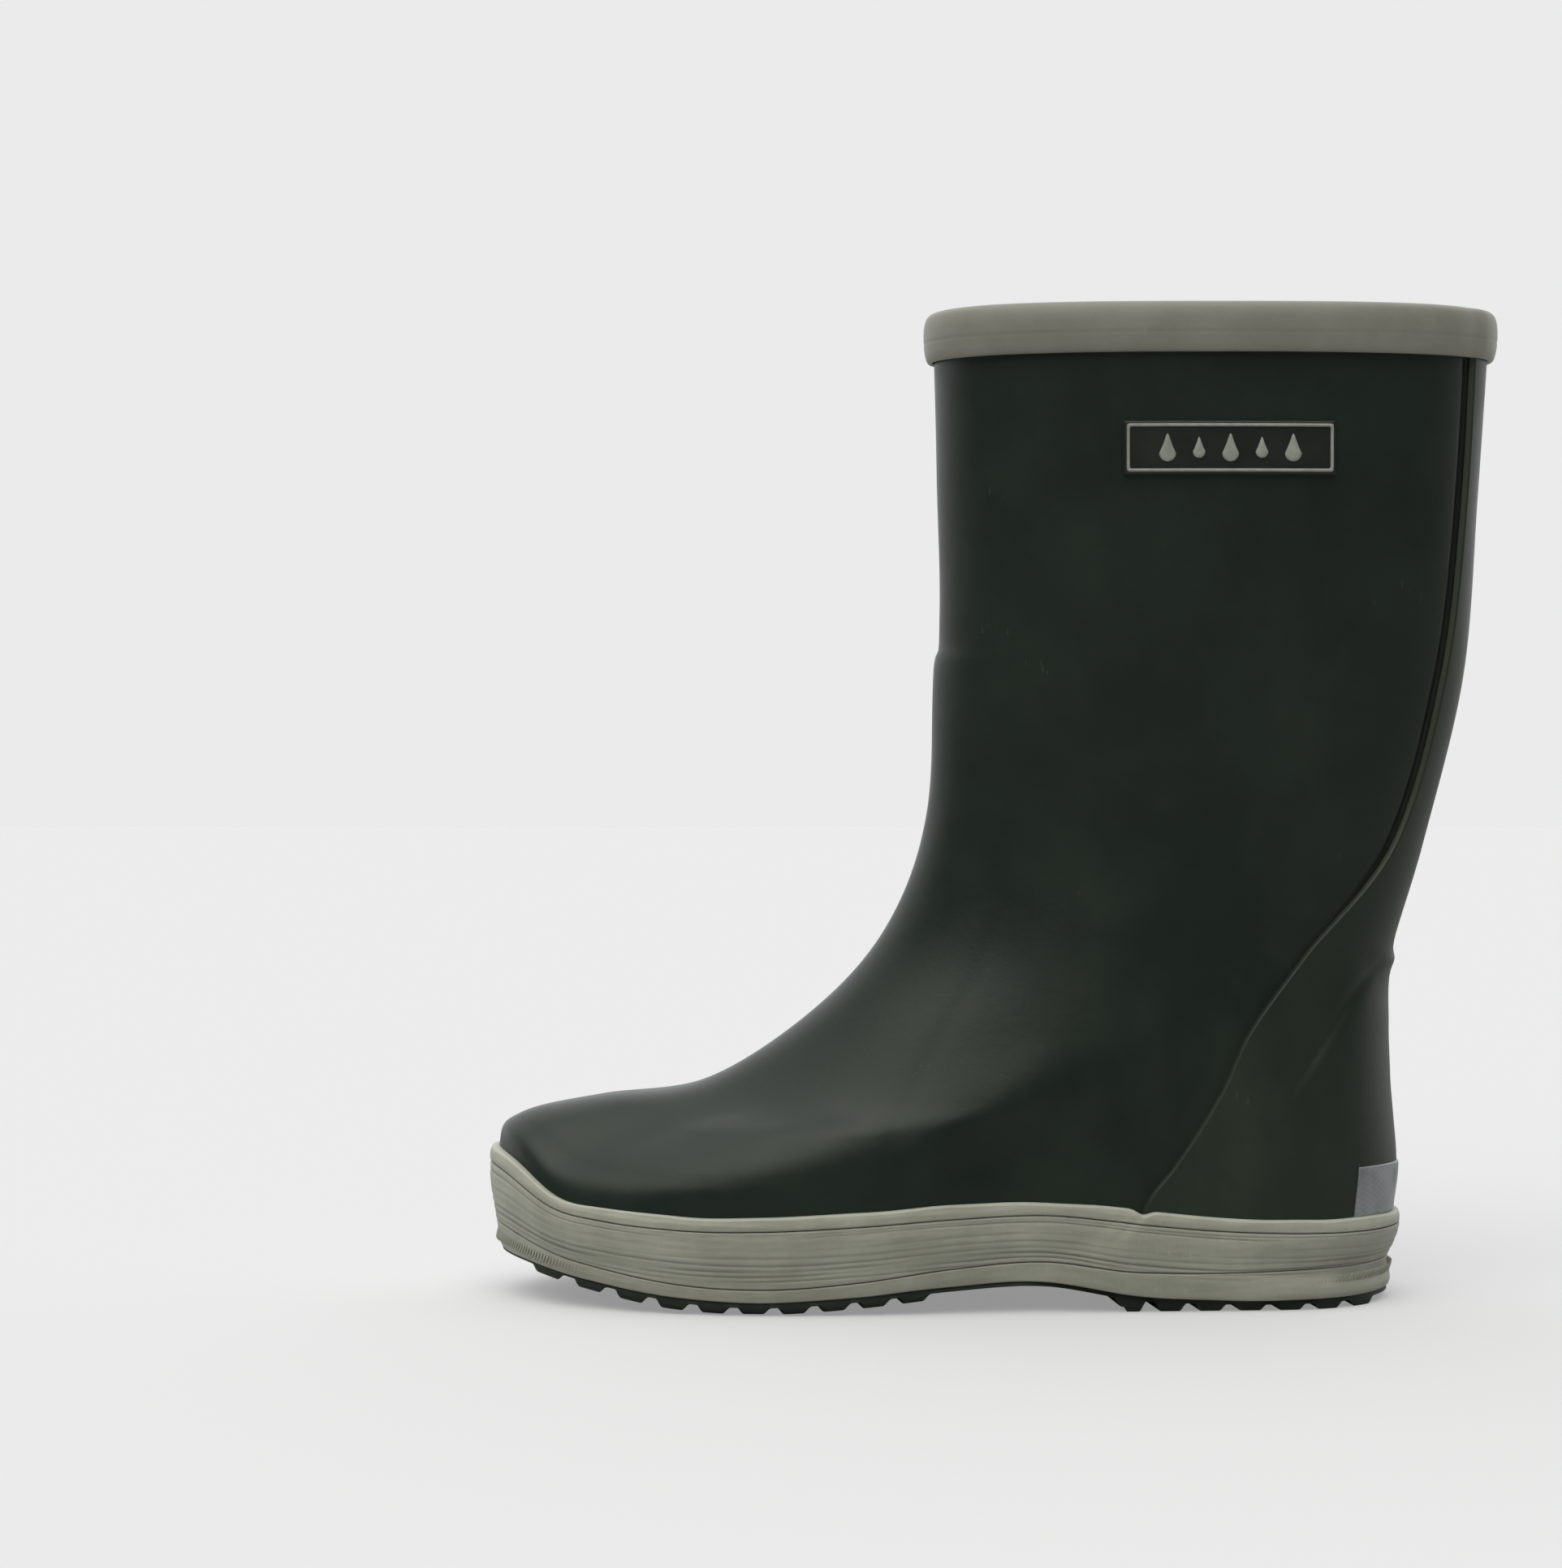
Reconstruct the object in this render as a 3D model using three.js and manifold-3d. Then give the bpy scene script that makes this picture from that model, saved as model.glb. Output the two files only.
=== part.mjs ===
// Child's natural-rubber rain boot, left foot: toe towards -X, outer side towards -Y, Z up, millimetres.
// Every layer of the boot is an offset of one lasted surface, built up from hand-set levels.
import * as THREE from 'three';
import Module from 'manifold-3d';

const wasm = await Module();
wasm.setup();

// ---- driving dimensions -------------------------------------------------
const GAP = 0.4; // clearance kept between neighbouring layers
const SEAM_GAP = 0.55; // the same where a partial layer lies against a full one
const LINING_THICKNESS = 0.8;
const STIFFENER_THICKNESS = 0.6;
const LEG_THICKNESS = 1.5;
const STAY_THICKNESS = 1.2;
const FOXING_THICKNESS = 1.8;
const STRIPE_THICKNESS = 2.2;
const TAPE_THICKNESS = 0.4;

const SOLE_START = -117; // x where the sole line starts at the toe
const SOLE_LENGTH = 210;
const OUTSOLE_THICKNESS = 3.2;
const MIDSOLE_THICKNESS = 2.4;
const BOARD_THICKNESS = 1.2;
const WEDGE_HEIGHT = 4;
const WEDGE_FRONT = 22; // x where the heel wedge starts
const INSOLE_FOAM = 3;
const INSOLE_CLOTH = 0.8;
const BOARD_CLEARANCE = 0.5; // gap between the lasting board and the lining
const INSOLE_CLEARANCE = 1.4; // gap between the loose insole and the lining

const BINDING_HEIGHT = 10.3;
const RIM_HEIGHT = 230;

const FOREFOOT_PITCH = 9.1; // from one tread bar to the next
const HEEL_PITCH = 9.3;
const TREAD_DEPTH = 2.9; // how far the bars stand below the foxing's foot
const LUG_WIDTH = 5.4;
const CENTRE_CHANNEL = 5;

const BADGE_WIDTH = 48.9;
const BADGE_HEIGHT = 12.6;
const BADGE_CENTRE = { x: 52.3, z: 197.6 };
const BADGE_THICKNESS = 1;
const BADGE_RELIEF = 0.7;

const STATIONS = 38; // points round a full ring
const TOE_CLEARANCE = 0.15; // the tight bend at the toe needs a wider gap
const PATCH_EDGE = 0.944; // where the heel patch starts, along the heel
const LEG_SPANS = STATIONS - 4; // the leg sheet leaves four open at the back seam
const PATCH_STATIONS = 16; // points across a partial layer

// Height above the floor of the foxing's foot and of its top edge, toe to heel in equal steps.
const FOXING_FOOT = [10.8, 6.8, 3.6, 2.8, 4.1, 6.2, 7, 3.6, 2.4, 2.3, 2.7];
const FOXING_TOP = [34.8, 24.8, 22.4, 22.4, 23.4, 24.8, 25.4, 23.5, 21.5, 20.7, 20.6];

// Levels of the lasted surface, sole edge to rim. front and back are [x, z]; width is the half width
// at equal steps from toe to heel, relative to an ellipse; stay and instep are how far back along the
// level the front edge of the back stay and the rear edge of the instep sheet lie (0 toe, 1 heel).
const LEVELS = [
  { front: [-116.2, 10.6], back: [90.3, 2.7], width: [51, 44.4, 37.4, 31.9, 35.2, 50], stay: 0.685, instep: 0.39 },
  { front: [-117.6, 34.2], back: [91.8, 20.6], width: [52, 45.4, 38.3, 32.7, 36, 51], stay: 0.712, instep: 0.393 },
  { front: [-112.7, 41.4], back: [93.0, 31], width: [41, 43.8, 37.3, 31.8, 35.2, 49], stay: 0.734, instep: 0.39 },
  { front: [-93.5, 46.0], back: [92.3, 42], width: [35, 39.2, 35.2, 30.7, 34.2, 47], stay: 0.745, instep: 0.347 },
  { front: [-68.5, 50.0], back: [91.2, 52], width: [31, 34, 32.6, 29.4, 32.8, 44], stay: 0.744, instep: 0.265 },
  { front: [-43.9, 65.8], back: [90.7, 64], width: [28, 29.2, 28.1, 27.6, 30.6, 39], stay: 0.749, instep: 0.196 },
  { front: [-26.5, 85.2], back: [91.7, 80], width: [26, 25, 24.8, 25.3, 27.5, 34], stay: 0.814, instep: 0.153 },
  { front: [-16.5, 111.7], back: [99.6, 107], width: [26, 24, 22.8, 23.3, 25.6, 31], stay: 0.93, instep: 0.157 },
  { front: [-14.3, 146], back: [109.0, 146], width: [29, 25.6, 23.5, 23.5, 25.6, 30], stay: 0.951, instep: 0.057 },
  { front: [-14.0, 188], back: [112.4, 188], width: [31, 26.9, 24.5, 24.5, 26.9, 31], stay: 0.966, instep: 0.02 },
  { front: [-15.0, RIM_HEIGHT], back: [115.1, RIM_HEIGHT], width: [32, 27.9, 25.3, 25.3, 27.9, 32], stay: 0.961, instep: 0.02 },
];
const RIM = LEVELS.length - 1;
const MEDIAL_TRIM = [0, 1.2, -1.5, -3.5, -1, 0]; // how the inner side's width differs on the foot
const TOE_SWING = 4.5; // how far the toe swings towards the inner side

// ---- the lasted surface -------------------------------------------------

// A smooth curve through values at equal steps, read at a step number.
function through(values) {
  const curve = new THREE.SplineCurve(values.map((value, step) => new THREE.Vector2(step, value)));
  return (step) => curve.getPoint(THREE.MathUtils.clamp(step / (values.length - 1), 0, 1)).y;
}

const frontX = through(LEVELS.map((level) => level.front[0]));
const frontZ = through(LEVELS.map((level) => level.front[1]));
const backX = through(LEVELS.map((level) => level.back[0]));
const backZ = through(LEVELS.map((level) => level.back[1]));
const stayEdge = through(LEVELS.map((level) => level.stay));
const instepEdge = through(LEVELS.map((level) => level.instep));
const levelWidths = LEVELS.map((level) => through(level.width));
const widthByLevel = (along) => through(levelWidths.map((width) => width(along * 5)));
const medialTrim = through(MEDIAL_TRIM);
const foxingFoot = through(FOXING_FOOT);
const foxingTop = through(FOXING_TOP);

const smooth = THREE.MathUtils.smoothstep;
const soleZ = (x) => foxingFoot(((x - SOLE_START) / SOLE_LENGTH) * 10);
const toeDip = (x) => 2 * Math.exp(-(((x + 104) / 8) ** 2)); // the foxing drops steeply beside the toe
const foxingTopZ = (x) => foxingTop(((x - SOLE_START) / SOLE_LENGTH) * 10) - toeDip(x);

// Width curves are shared by many points, so each distance along the level is worked out once.
const widthCache = new Map();
function widthCurve(along) {
  const key = along.toFixed(6);
  if (!widthCache.has(key)) {
    widthCache.set(key, widthByLevel(along));
  }
  return widthCache.get(key);
}

// A point of the lasted surface. turn runs 0 at the toe, pi at the heel by the outer side, and on
// round to two pi by the inner side; level runs from 0 at the sole edge to RIM.
function lastPoint(turn, level) {
  const along = (1 - Math.cos(turn)) / 2;
  const inner = Math.sin(turn) < 0;
  const onFoot = 1 - smooth(level, 2, 6.5);
  const x = THREE.MathUtils.lerp(frontX(level), backX(level), along);
  let half = widthCurve(along)(level);
  if (inner) {
    half += medialTrim(along * 5) * onFoot;
  }
  const swing = TOE_SWING * Math.max(0, 1 - along / 0.6) ** 2 * (1 - smooth(level, 1, 5));
  const y = -Math.sin(turn) * half + swing;
  let z;
  if (level <= 1) {
    z = THREE.MathUtils.lerp(soleZ(x), foxingTopZ(x), level);
  } else {
    const chordX = THREE.MathUtils.lerp(LEVELS[1].front[0], LEVELS[1].back[0], along);
    const chordZ = THREE.MathUtils.lerp(LEVELS[1].front[1], LEVELS[1].back[1], along);
    const follow = 1 - smooth(level, 1, 6);
    z = THREE.MathUtils.lerp(frontZ(level), backZ(level), along) + follow * (foxingTopZ(chordX) - chordZ);
  }
  return new THREE.Vector3(x, y, z);
}

// The same point moved out along the surface's normal.
function skinPoint(turn, level, offset) {
  const point = lastPoint(turn, level);
  if (offset === 0) {
    return point;
  }
  const low = Math.max(level - 0.04, 0);
  const high = Math.min(level + 0.04, RIM);
  const around = lastPoint(turn + 0.02, level).sub(lastPoint(turn - 0.02, level));
  const up = lastPoint(turn, high).sub(lastPoint(turn, low));
  const normal = around.cross(up).normalize();
  return point.addScaledVector(normal, offset);
}

// How far the strips laid over the back stay are lifted by it.
function overStay(turn, level) {
  const along = (1 - Math.cos(turn)) / 2;
  const edge = stayEdge(level);
  return (STAY_THICKNESS + SEAM_GAP + 0.1) * smooth(along, edge - 0.07, edge - 0.02);
}

// ---- closed bodies from grids of points ---------------------------------

function bodyFrom(points, triangles) {
  const geometry = new THREE.BufferGeometry().setFromPoints(points);
  geometry.setIndex(triangles);
  const a = new THREE.Vector3();
  const b = new THREE.Vector3();
  const c = new THREE.Vector3();
  let volume = 0;
  for (let i = 0; i < triangles.length; i += 3) {
    a.copy(points[triangles[i]]);
    b.copy(points[triangles[i + 1]]);
    c.copy(points[triangles[i + 2]]);
    volume += a.dot(b.cross(c));
  }
  if (volume < 0) {
    for (let i = 0; i < triangles.length; i += 3) {
      [triangles[i], triangles[i + 1]] = [triangles[i + 1], triangles[i]];
    }
    geometry.setIndex(triangles);
  }
  geometry.computeVertexNormals();
  return geometry;
}

// A sheet with thickness: two matching grids joined round their edges. Rows run up the boot and
// columns round it; a wrapped sheet joins its last column to its first.
function sheetBody(outer, inner, wrapped) {
  const rows = outer.length;
  const columns = outer[0].length;
  const points = [...outer.flat(), ...inner.flat()];
  const innerStart = rows * columns;
  const triangles = [];
  const quad = (a, b, c, d) => triangles.push(a, b, c, a, c, d);
  const steps = wrapped ? columns : columns - 1;
  for (let row = 0; row < rows - 1; row += 1) {
    for (let column = 0; column < steps; column += 1) {
      const next = (column + 1) % columns;
      const a = row * columns + column;
      const b = row * columns + next;
      const c = b + columns;
      const d = a + columns;
      quad(a, b, c, d);
      quad(innerStart + b, innerStart + a, innerStart + d, innerStart + c);
    }
  }
  for (let column = 0; column < steps; column += 1) {
    const next = (column + 1) % columns;
    const top = (rows - 1) * columns;
    quad(next, column, innerStart + column, innerStart + next);
    quad(top + column, top + next, innerStart + top + next, innerStart + top + column);
  }
  if (!wrapped) {
    for (let row = 0; row < rows - 1; row += 1) {
      const left = row * columns;
      const right = left + columns - 1;
      quad(left, left + columns, innerStart + left + columns, innerStart + left);
      quad(right + columns, right, innerStart + right, innerStart + right + columns);
    }
  }
  return bodyFrom(points, triangles);
}

// A layer of the upper between two offsets. fromTurn and toTurn give its side edges at each level;
// without them it runs all the way round.
function layer({ levels, from, to, fromTurn, toTurn, spans = PATCH_STATIONS, lift = () => 0 }) {
  const wrapped = !fromTurn;
  const stations = wrapped ? STATIONS : spans;
  const grid = (offset) => levels.map((level) => {
    const start = wrapped ? 0 : fromTurn(level);
    const end = wrapped ? 2 * Math.PI : toTurn(level);
    const count = wrapped ? stations : stations + 1;
    return Array.from({ length: count }, (_, i) => {
      const turn = start + ((end - start) * i) / stations;
      return skinPoint(turn, level, offset + lift(turn, level));
    });
  });
  return sheetBody(grid(to), grid(from), wrapped);
}

const steps = (from, to, count) => Array.from({ length: count + 1 }, (_, i) => from + ((to - from) * i) / count);
const turnAt = (along) => Math.acos(THREE.MathUtils.clamp(1 - 2 * along, -1, 1));

// A plate across the boot's bottom. edge is how far its outline lies inside the lasted surface.
function solePlate({ edge, bottom, top, level = 0.4, fromTurn = 0.07, rows = 22 }) {
  const toTurn = Math.PI - 0.07;
  const grid = (height) => steps(fromTurn, toTurn, rows).map((turn) => {
    const outside = skinPoint(turn, level, -edge);
    const inside = skinPoint(2 * Math.PI - turn, level, -edge);
    return steps(0, 1, 4).map((across) => {
      const point = outside.clone().lerp(inside, across);
      point.z = soleZ(point.x) + height(point.x);
      return point;
    });
  });
  return sheetBody(grid(top), grid(bottom), false);
}

// ---- booleans -----------------------------------------------------------

function toManifold(geometry) {
  const merged = geometry.index ? geometry : geometry.clone();
  const position = merged.attributes.position;
  const keys = new Map();
  const vertices = [];
  const remap = [];
  for (let i = 0; i < position.count; i += 1) {
    const corner = [position.getX(i), position.getY(i), position.getZ(i)].map((value) => value.toFixed(4));
    const key = corner.join();
    if (!keys.has(key)) {
      keys.set(key, vertices.length / 3);
      vertices.push(...corner.map(Number));
    }
    remap.push(keys.get(key));
  }
  const order = merged.index ? [...merged.index.array] : remap.map((_, i) => i);
  const triangles = [];
  for (let i = 0; i < order.length; i += 3) {
    const [a, b, c] = [remap[order[i]], remap[order[i + 1]], remap[order[i + 2]]];
    if (a !== b && b !== c && c !== a) {
      triangles.push(a, b, c);
    }
  }
  return new wasm.Manifold(new wasm.Mesh({
    numProp: 3,
    vertProperties: new Float32Array(vertices),
    triVerts: new Uint32Array(triangles),
  }));
}

function toGeometry(manifold) {
  const mesh = manifold.getMesh();
  const geometry = new THREE.BufferGeometry();
  geometry.setAttribute('position', new THREE.BufferAttribute(new Float32Array(mesh.vertProperties), 3));
  geometry.setIndex([...mesh.triVerts]);
  geometry.computeVertexNormals();
  return geometry;
}

// ---- the bottom ---------------------------------------------------------

const OUTSOLE_TOP = OUTSOLE_THICKNESS;
const MIDSOLE_TOP = OUTSOLE_TOP + GAP + MIDSOLE_THICKNESS;
const BOARD_BOTTOM = MIDSOLE_TOP + GAP;
const BOARD_TOP = BOARD_BOTTOM + BOARD_THICKNESS;
const INSIDE_LEG = LEG_THICKNESS + GAP; // plates inside the upper start this far in
const INSIDE_STIFFENER = INSIDE_LEG + STIFFENER_THICKNESS + SEAM_GAP;
const INSIDE_LINING = INSIDE_STIFFENER + LINING_THICKNESS;

const wedgeLift = (x) => (WEDGE_HEIGHT + GAP) * smooth(x, WEDGE_FRONT - 22, WEDGE_FRONT + 24);

// Height of the tread's lowest face: on the floor at ball and heel, rising under the toe.
function treadZ(x) {
  return x > 28 ? 0 : Math.max(0, soleZ(x) - TREAD_DEPTH);
}

// One tread bar, a bent block either side of the centre channel, its ends rounded.
function lugBar(x, side) {
  const reach = 50;
  const lean = 6; // how far the bar's outer end is swept back
  const start = CENTRE_CHANNEL / 2;
  const shape = new THREE.Shape();
  shape.moveTo(x - LUG_WIDTH / 2, side * start);
  shape.lineTo(x + LUG_WIDTH / 2, side * start);
  shape.lineTo(x + LUG_WIDTH / 2 + lean * 0.3, side * (start + 14));
  shape.lineTo(x + LUG_WIDTH / 2 + lean, side * reach);
  shape.lineTo(x - LUG_WIDTH / 2 + lean, side * reach);
  shape.lineTo(x - LUG_WIDTH / 2 + lean * 0.3, side * (start + 14));
  shape.closePath();
  const bottom = treadZ(x + lean / 2);
  const height = soleZ(x) - 0.9 - bottom;
  return toManifold(new THREE.ExtrudeGeometry(shape, { depth: height, bevelEnabled: false }).translate(0, 0, bottom));
}

function outsole() {
  const overhang = GAP + FOXING_THICKNESS - 0.6;
  const core = solePlate({ edge: GAP, bottom: () => -1, top: () => OUTSOLE_TOP, level: 0 });
  const flange = solePlate({ edge: -overhang, bottom: () => -1.6, top: () => -0.6, level: 0 });
  let tread = toManifold(flange);
  tread = tread.add(toManifold(core));
  const limit = toManifold(solePlate({ edge: 0.5 - overhang, bottom: () => -12, top: () => -0.8, level: 0 }));
  const forefoot = Array.from({ length: 10 }, (_, i) => -106.6 + i * FOREFOOT_PITCH);
  const heel = Array.from({ length: 7 }, (_, i) => 25.3 + i * HEEL_PITCH);
  for (const x of [...forefoot, ...heel]) {
    for (const side of [-1, 1]) {
      tread = tread.add(lugBar(x, side).intersect(limit));
    }
  }
  return toGeometry(tread);
}

const midsoleFiller = () => solePlate({
  edge: INSIDE_LEG,
  bottom: () => OUTSOLE_TOP + GAP,
  top: () => MIDSOLE_TOP,
});

const heelWedge = () => solePlate({
  edge: INSIDE_LINING + BOARD_CLEARANCE,
  bottom: () => MIDSOLE_TOP + GAP,
  top: (x) => MIDSOLE_TOP + wedgeLift(x),
  fromTurn: turnAt((WEDGE_FRONT - SOLE_START) / SOLE_LENGTH),
  rows: 10,
});

const insoleBoard = () => solePlate({
  edge: INSIDE_LINING + BOARD_CLEARANCE,
  bottom: (x) => BOARD_BOTTOM + wedgeLift(x),
  top: (x) => BOARD_TOP + wedgeLift(x),
});

const insoleFoam = () => solePlate({
  edge: INSIDE_LINING + INSOLE_CLEARANCE,
  bottom: (x) => BOARD_TOP + GAP + wedgeLift(x),
  top: (x) => BOARD_TOP + GAP + INSOLE_FOAM + wedgeLift(x),
});

const insoleCloth = () => solePlate({
  edge: INSIDE_LINING + INSOLE_CLEARANCE,
  bottom: (x) => BOARD_TOP + 2 * GAP + INSOLE_FOAM + wedgeLift(x),
  top: (x) => BOARD_TOP + 2 * GAP + INSOLE_FOAM + INSOLE_CLOTH + wedgeLift(x),
});

// ---- the upper ----------------------------------------------------------

// Levels from the board up, closer together over the foot where the shape turns.
const FOOT_LEVELS = [0.4, 1, 1.5, 2, 2.5, 3, 3.5, 4, 4.5, 5, 5.5, 6, 6.5];
const LEG_LEVELS = [7, 7.5, 8, 9];

const lining = () => layer({
  levels: [...FOOT_LEVELS, ...LEG_LEVELS, RIM - 0.04],
  from: -INSIDE_LINING,
  to: -INSIDE_STIFFENER,
});

// The sheet is wrapped round from the toe. Its two edges stop short of the back seam, under the stay.
const legAndVamp = () => layer({
  levels: [...FOOT_LEVELS, ...LEG_LEVELS, RIM - 0.04],
  from: -LEG_THICKNESS,
  to: 0,
  fromTurn: () => (-LEG_SPANS * Math.PI) / STATIONS,
  toTurn: () => (LEG_SPANS * Math.PI) / STATIONS,
  spans: LEG_SPANS,
});

const stiffener = (options) => layer({
  from: -INSIDE_LEG - STIFFENER_THICKNESS,
  to: -INSIDE_LEG,
  ...options,
});

const toePuff = () => stiffener({
  from: -INSIDE_LEG - STIFFENER_THICKNESS - TOE_CLEARANCE,
  to: -INSIDE_LEG - TOE_CLEARANCE,
  levels: [0.4, 1, 1.5, 2, 2.5, 2.9],
  fromTurn: () => -turnAt(0.24),
  toTurn: () => turnAt(0.24),
});

const heelCounter = () => stiffener({
  levels: [0.4, 1, 2, 3, 4, 5, 5.6],
  fromTurn: (level) => turnAt(stayEdge(level) + 0.03),
  toTurn: (level) => 2 * Math.PI - turnAt(stayEdge(level) + 0.03),
});

const instepReinforcement = () => stiffener({
  levels: [3.1, 3.5, 4, 4.5, 5, 5.5, 6, 6.5, 7, 7.5, 8.15],
  fromTurn: (level) => -turnAt(instepEdge(level)),
  toTurn: (level) => turnAt(instepEdge(level)),
});

// The stay stops just under the binding and runs down behind the foxing.
const backStay = () => layer({
  levels: [0.4, 1, 1.5, 2, 2.5, 3, 3.5, 4, 4.5, 5, 5.5, 6, 6.5, 7, 7.5, 8, 9, RIM - 0.04],
  from: SEAM_GAP,
  to: SEAM_GAP + STAY_THICKNESS,
  fromTurn: (level) => turnAt(stayEdge(level)),
  toTurn: (level) => 2 * Math.PI - turnAt(stayEdge(level)),
});

function reflectivePatch() {
  const surface = SEAM_GAP + STAY_THICKNESS + GAP;
  return layer({
    levels: [1.07, 1.4, 1.75, 2.1],
    from: surface,
    to: surface + TAPE_THICKNESS,
    fromTurn: () => turnAt(PATCH_EDGE),
    toTurn: () => 2 * Math.PI - turnAt(PATCH_EDGE),
  });
}

// The binding is folded over the rim: its section runs down the outside, over and down the inside.
function topBinding() {
  const rimLevel = RIM;
  const inside = -INSIDE_LINING - 2 * GAP;
  const section = [
    [GAP, 1 - BINDING_HEIGHT],
    [1.9, 1.2 - BINDING_HEIGHT],
    [2.4, -5.6],
    [2.2, -1.8],
    [1.1, 0.9],
    [-1, 1.5],
    [inside - 0.2, 1],
    [inside - 1.3, -0.8],
    [inside - 1.3, -7],
    [inside, -7],
    [inside, -0.2],
    [GAP, -0.2],
  ];
  const rings = section.map(([offset, height]) => Array.from({ length: STATIONS }, (_, i) => {
    const turn = (2 * Math.PI * i) / STATIONS;
    const overLeg = offset > 0 ? overStay(turn, rimLevel) : 0;
    const point = skinPoint(turn, rimLevel + Math.min(height, 0) / 42, offset + overLeg);
    point.z = RIM_HEIGHT + height;
    return point;
  }));
  const points = rings.flat();
  const triangles = [];
  for (let ring = 0; ring < rings.length; ring += 1) {
    const nextRing = (ring + 1) % rings.length;
    for (let i = 0; i < STATIONS; i += 1) {
      const next = (i + 1) % STATIONS;
      const a = ring * STATIONS + i;
      const b = ring * STATIONS + next;
      const c = nextRing * STATIONS + next;
      const d = nextRing * STATIONS + i;
      triangles.push(a, b, c, a, c, d);
    }
  }
  return bodyFrom(points, triangles);
}

// ---- the foxing ---------------------------------------------------------

const foxingTape = (fromLevel, toLevel, thickness, rows) => layer({
  levels: steps(fromLevel, toLevel, rows),
  from: GAP,
  to: GAP + thickness,
  lift: overStay,
});

const foxingLowerStrip = () => foxingTape(0.02, 0.2, FOXING_THICKNESS, 1);
const foxingBand = () => foxingTape(0.22, 0.835, FOXING_THICKNESS, 3);
const foxingTopStripe = () => foxingTape(0.855, 1, STRIPE_THICKNESS - 0.6, 1);

// ---- the badge ----------------------------------------------------------

// A point on the outer side of the leg at a given x and z, moved out by an offset.
function legSide(x, z, offset) {
  let low = 7;
  let high = RIM;
  for (let i = 0; i < 30; i += 1) {
    const middle = (low + high) / 2;
    if (frontZ(middle) < z) {
      low = middle;
    } else {
      high = middle;
    }
  }
  const along = (x - frontX(low)) / (backX(low) - frontX(low));
  return skinPoint(turnAt(along), low, offset);
}

// Bends a flat geometry, drawn about the badge's centre with its thickness in z, onto the leg.
function ontoLeg(geometry, baseOffset) {
  const position = geometry.attributes.position;
  for (let i = 0; i < position.count; i += 1) {
    const x = BADGE_CENTRE.x + position.getX(i);
    const z = BADGE_CENTRE.z + position.getY(i);
    const point = legSide(x, z, baseOffset + position.getZ(i));
    position.setXYZ(i, point.x, point.y, point.z);
  }
  geometry.computeVertexNormals();
  return geometry;
}

function badgePlate() {
  const box = new THREE.BoxGeometry(BADGE_WIDTH, BADGE_HEIGHT, BADGE_THICKNESS, 12, 3, 1);
  box.translate(0, 0, BADGE_THICKNESS / 2);
  return ontoLeg(box, GAP);
}

function roundedRectangle(width, height, radius) {
  const stepsAlong = 12;
  const corners = [[1, -1], [1, 1], [-1, 1], [-1, -1]];
  const points = [];
  corners.forEach(([sideX, sideY], corner) => {
    const centreX = sideX * (width / 2 - radius);
    const centreY = sideY * (height / 2 - radius);
    for (let i = 0; i <= 3; i += 1) {
      const angle = (corner - 1 + i / 3) * (Math.PI / 2);
      points.push(new THREE.Vector2(centreX + radius * Math.cos(angle), centreY + radius * Math.sin(angle)));
    }
    if (sideX === sideY) {
      const direction = sideY > 0 ? -1 : 1;
      for (let i = 1; i < stepsAlong; i += 1) {
        const x = direction * (i / stepsAlong - 0.5) * (width - 2 * radius);
        points.push(new THREE.Vector2(x, centreY + sideY * radius));
      }
    }
  });
  return points;
}

const badgeTop = 2 * GAP + BADGE_THICKNESS;

function badgeBorder() {
  const outline = (inset, height) => roundedRectangle(BADGE_WIDTH - inset, BADGE_HEIGHT - inset, 0.8)
    .map((corner) => legSide(BADGE_CENTRE.x + corner.x, BADGE_CENTRE.z + corner.y, badgeTop + height));
  const ring = (height) => [outline(1.1, height), outline(2.7, height)];
  return sheetBody(ring(BADGE_RELIEF), ring(0), true);
}

// A raindrop about its own centre, point upwards.
function badgeDrop(x, height) {
  const radius = height * 0.3;
  const bellyY = -height / 2 + radius;
  const drop = new THREE.Shape();
  drop.moveTo(0, height / 2);
  drop.quadraticCurveTo(radius * 0.3, height * 0.2, radius * 0.9, bellyY + radius * 0.45);
  drop.absarc(0, bellyY, radius, 0.45, -Math.PI - 0.45, true);
  drop.quadraticCurveTo(-radius * 0.3, height * 0.2, 0, height / 2);
  const body = new THREE.ExtrudeGeometry(drop, { depth: BADGE_RELIEF, bevelEnabled: false, curveSegments: 7 });
  body.translate(x, 0, 0);
  return ontoLeg(body, badgeTop);
}

// ---- assembly -----------------------------------------------------------

const finish = (name, color, roughness) => () => new THREE.MeshStandardMaterial({ name, color, roughness });
const greenRubber = finish('green_rubber', 0x26342b, 0.45);
const darkRubber = finish('sole_rubber', 0x1c2420, 0.6);
const greyRubber = finish('grey_rubber', 0x8b8d7f, 0.55);
const sponge = finish('sponge', 0x6d6a5e, 0.95);
const board = finish('board', 0x8a7350, 0.9);
const knit = finish('knit_lining', 0xe6dfcd, 0.95);
const stiff = finish('stiffener_sheet', 0x3c3f3a, 0.8);
const foam = finish('foam', 0xd8d2bd, 0.95);
const cloth = finish('insole_cloth', 0xcfc6ae, 0.95);
const tape = finish('reflective_tape', 0x8d9398, 0.35);
const badgeRubber = finish('badge_rubber', 0x181c1a, 0.5);
const badgeRelief = finish('badge_relief', 0xb4b6ab, 0.5);

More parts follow.
